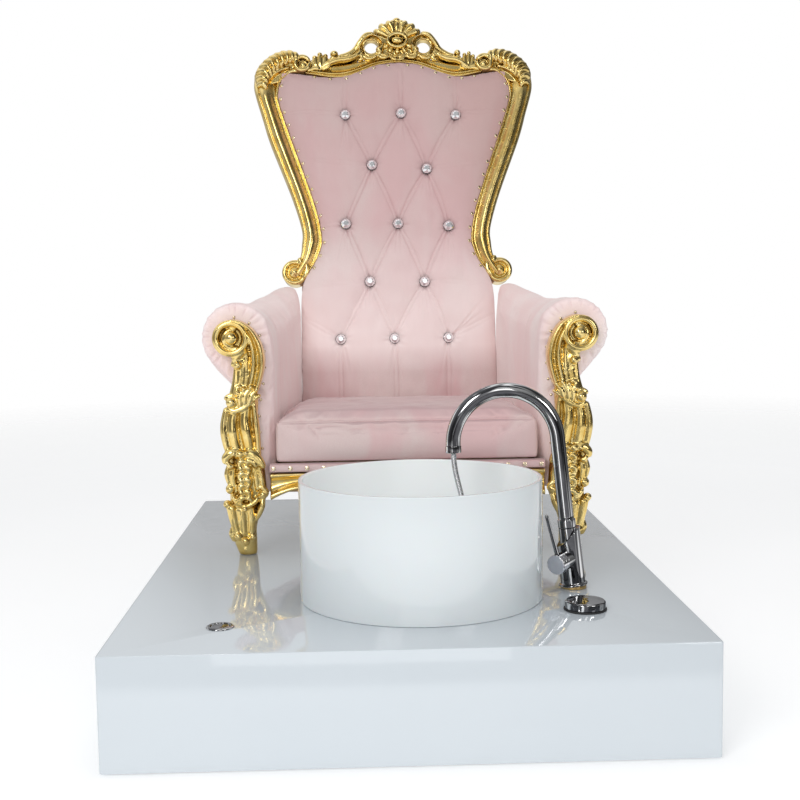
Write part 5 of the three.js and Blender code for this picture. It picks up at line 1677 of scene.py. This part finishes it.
def carve_crest_half(c, hand):
    m = lambda points: [(hand * x, z) for x, z in points]
    # The open C scroll: a dished ring with a rolled rim and a ball at its inner end.
    inside, outside = circle(67, 893, 17, 0, 360, 61), circle(67, 893, 32.5, 0, 360, 61)
    ring_profile = [(0, 0), (0.06, 9), (0.22, 11), (0.4, 4), (0.6, 3), (0.78, 13), (0.9, 14), (1, 2)]
    c.sweep(m(inside), m(outside), ring_profile, 16, 72)
    c.ball(hand * 47, -11, 884, 8.4, 9)
    c.flat(m(circle(58, 888, 18, 150, 250, 14)), -9, [2.6, 3.6, 2.4], [7, 8, 6], 20)
    # Flutes of the shell with round tips.
    for angle, reach, w in ((68, 57, 6.2), (49, 59, 7.2), (30, 61, 7)):
        a = math.radians(angle)
        ray = lambda r, turn=0.0: (hand * r * math.cos(a + turn), 905 + r * math.sin(a + turn))
        c.flat([ray(24), ray(42, 0.05), ray(reach, 0)], -5, [w * 0.5, w * 0.8, w], [7, 9, 9], 22)
        tip = ray(reach)
        c.add(ball((tip[0], 8, tip[1]), (w * 1.25, 16, w * 1.25), 12, 18))
    # The two straps that run down to the side, with a gap between them, and their ball.
    c.stroke([(hand * 60, -9, 926), (hand * 80, -9, 921), (hand * 96, -6, 903), (hand * 108, -2, 886), (hand * 128, -2, 873),
              (hand * 148, -3, 868)], [4.5, 6, 6, 6, 6, 5], [9, 11, 11, 10, 10, 9], 60)
    c.stroke([(hand * 92, 12, 915), (hand * 106, 14, 893), (hand * 126, 14, 876), (hand * 150, 14, 868)],
             [6, 6, 6, 6], [20, 20, 20, 20], 40)
    c.add(ball((hand * 158, 2, 877), (9.5, 16, 9), 14, 22))
    c.flat(m(circle(156, 874, 12, 200, 330, 14)), -6, [3, 4, 3], [7, 8, 7], 18)
    c.stroke([(hand * 94, -6, 882), (hand * 104, -9, 870), (hand * 126, -10, 860), (hand * 152, -10, 856),
              (hand * 172, -10, 848), (hand * 190, -8, 836)], [3.4, 5, 5.6, 5.6, 5, 3.6], [8, 10, 10, 10, 9, 7], 60)
    c.stroke([(hand * 98, 14, 878), (hand * 112, 16, 866), (hand * 140, 16, 856), (hand * 172, 16, 852)],
             [6, 6, 7, 7], [18, 18, 18, 18], 40)
    c.ball(hand * 93, -10, 868, 6, 8)
    c.flat(m([(84, 872), (92, 860), (102, 856)]), -9, [3, 4, 2.6], [7, 8, 6], 14)
    # The wavy leaf edge under the scroll.
    for line in ([(90, 872), (79, 861), (64, 862), (50, 872)], [(52, 872), (42, 863), (30, 863), (20, 870)],
                 [(22, 868), (13, 860), (5, 857), (0, 858)]):
        c.flat(m(line), -9, [2.6, 4, 4, 2.6], [7, 9, 9, 7], 28)
        c.flat(m([(x * 0.96, z + 9) for x, z in line]), -6, [2, 3, 3, 2], [6, 7, 7, 6], 24)
    # A spray of leaves where the crest meets the rail's ear.
    root = (186, 832)
    for tip, w in (((168, 858), 5.5), ((178, 870), 6), ((191, 874), 6), ((203, 866), 6), ((209, 852), 5)):
        bend = ((root[0] + tip[0]) / 2 + (tip[0] - root[0]) * 0.3, (root[1] + tip[1]) / 2 - 3)
        c.flat(m([root, bend, tip]), -6, [3, w, w * 0.8], [8, 10, 8], 22)
        c.ball(hand * tip[0], -6, tip[1], w * 0.95, 9)
    c.slab([(hand * x, z) for x, z in ((168, 846), (172, 862), (188, 872), (204, 866), (224, 858), (224, 826), (180, 824))],
           2, 36)
    c.flat(m([(190, 834), (204, 836), (216, 832), (226, 836)]), -9, [4, 5.4, 5.4, 4], [8, 9, 9, 8], 24)


def build_crest():
    moulding = crest_moulding().plain("crest_moulding", BACK)
    carved = carve_crest().build("crest_carving", BACK, 1.3, relax=3)
    for piece in (moulding, carved):
        points = local_points(piece, BACK)
        points[:, 0] = off_centre(points[:, 0])
        set_points(piece, points, BACK)
    finish_piece(moulding, "base", PLAIN_GOLD, "gold_leaf", "crest_rail")
    finish_piece(carved, "base", GOLD, "gold_leaf")


def build_carving():
    build_posts()
    build_rear_legs()
    build_apron()
    build_rails()
    build_crest()


build_platform()
build_basin()
build_hidden_plumbing()
build_deck_controls()
build_faucet()
build_hidden_frame()
build_upholstery()
build_carving()


# ---------------------------------------------------------------- studio
def studio():
    floor = make("floor", [(-14000, -14000, 0), (14000, -14000, 0), (14000, 14000, 0), (-14000, 14000, 0)],
                 [(0, 1, 2, 3)], Matrix.Identity(4))
    s = Shader("studio_floor")
    tone = s.mix(s.noise(2, 3), (0.86, 0.865, 0.87), (0.89, 0.893, 0.897))
    s.set(Base_Color=tone, Roughness=0.6, Emission_Color=(1, 1, 1, 1), Emission_Strength=0.3)
    s.bump(s.noise(60, 2), 0.02, 0.002)
    reach = s.node("VectorMath", operation="LENGTH")
    s.put(reach.inputs[0], s.coords)
    gone = s.spread(reach.outputs["Value"], 2.2, 6.0, 0, 1)
    blend = s.node("MixShader")
    s.put(blend.inputs["Fac"], gone)
    s.put(blend.inputs[1], s.skin.outputs["BSDF"])
    s.put(blend.inputs[2], s.node("BsdfTransparent").outputs["BSDF"])
    s.put(s.tree.nodes["Material Output"].inputs["Surface"], blend.outputs["Shader"])
    floor.data.materials.append(s.material)

    room()
    for name, spot, aim, size, power in (
        ("key", (-1.7, -3.4, 2.4), (0, 0, 0.6), 1.5, 42),
        ("fill", (2.3, -3.1, 1.4), (0, 0, 0.55), 1.0, 13),
        ("front", (-0.2, -3.6, 1.3), (0, 0.2, 0.6), 2.0, 15),
        ("top", (0.2, 0.2, 3.9), (0, 0, 0.2), 2.6, 16),
        ("rear", (0.5, 3.4, 2.6), (0, 0.3, 0.9), 2.4, 10),
    ):
        light = bpy.data.lights.new(name, "AREA")
        light.shape, light.size, light.energy = "SQUARE", size, power
        lamp = bpy.data.objects.new(name, light)
        lamp.location = spot
        lamp.rotation_euler = (Vector(aim) - Vector(spot)).to_track_quat("-Z", "Y").to_euler()
        lamp.visible_glossy = name not in ("top", "rear")
        bpy.context.scene.collection.objects.link(lamp)


def room():
    """A white room that is darker behind the camera, so that polished metal shows dark and light bands."""
    world = bpy.data.worlds.new("studio")
    bpy.context.scene.world = world
    world.use_nodes = True
    tree = world.node_tree
    tree.nodes.clear()
    link = tree.links.new

    def node(kind, **settings):
        made = tree.nodes.new("ShaderNode" + kind)
        for key, value in settings.items():
            setattr(made, key, value)
        return made

    def ramp(value, low, high, to_low, to_high):
        made = node("MapRange", interpolation_type="SMOOTHSTEP")
        link(value, made.inputs["Value"])
        for key, number in (("From Min", low), ("From Max", high), ("To Min", to_low), ("To Max", to_high)):
            made.inputs[key].default_value = number
        return made.outputs["Result"]

    def times(a, b):
        made = node("Math", operation="MULTIPLY")
        link(a, made.inputs[0])
        link(b, made.inputs[1])
        return made.outputs[0]

    def toward(*way):
        made = node("VectorMath", operation="DOT_PRODUCT")
        link(direction, made.inputs[0])
        made.inputs[1].default_value = way
        return made.outputs["Value"]

    direction = node("TexCoord").outputs["Generated"]
    height = ramp(toward(0, 0, 1), 0.12, 0.6, 0.5, 1.05)
    behind_camera = ramp(toward(0.1, -0.98, 0.1), 0.0, 0.6, 1.0, 0.36)
    right_wall = ramp(toward(0.98, 0.0, 0.1), 0.15, 0.75, 1.0, 0.2)
    lit = node("Background")
    lit.inputs["Color"].default_value = (0.975, 0.988, 1.0, 1)
    mirrored = times(times(height, behind_camera), right_wall)
    choose = node("Mix", data_type="FLOAT")
    link(node("LightPath").outputs["Is Glossy Ray"], choose.inputs[0])
    choose.inputs[2].default_value = 0.52
    link(mirrored, choose.inputs[3])
    link(choose.outputs[0], lit.inputs["Strength"])
    seen = node("Background")
    seen.inputs["Color"].default_value = (1.0, 1.0, 1.0, 1)
    blend = node("MixShader")
    link(node("LightPath").outputs["Is Camera Ray"], blend.inputs[0])
    link(lit.outputs[0], blend.inputs[1])
    link(seen.outputs[0], blend.inputs[2])
    link(blend.outputs[0], node("OutputWorld").inputs["Surface"])


def camera():
    """A camera at the photograph's place: a little left of the middle, turned and tilted."""
    pitch, yaw, roll = (math.radians(a) for a in (5.42, 1.89, -0.84))
    ahead = Vector((math.sin(yaw) * math.cos(pitch), math.cos(yaw) * math.cos(pitch), -math.sin(pitch)))
    right = Vector((math.cos(yaw), -math.sin(yaw), 0))
    up = right.cross(ahead)
    turned_right = right * math.cos(roll) + up * math.sin(roll)
    turned_up = -right * math.sin(roll) + up * math.cos(roll)
    lens = bpy.data.cameras.new("camera")
    lens.sensor_width, lens.lens = 36, 54.54
    eye = bpy.data.objects.new("camera", lens)
    turn = Matrix((turned_right, turned_up, -ahead)).transposed().to_4x4()
    eye.matrix_world = Matrix.Translation((-0.075, -2.568, 0.770)) @ turn
    bpy.context.scene.collection.objects.link(eye)
    bpy.context.scene.camera = eye


studio()
camera()
bpy.context.scene.view_settings.view_transform = "Standard"
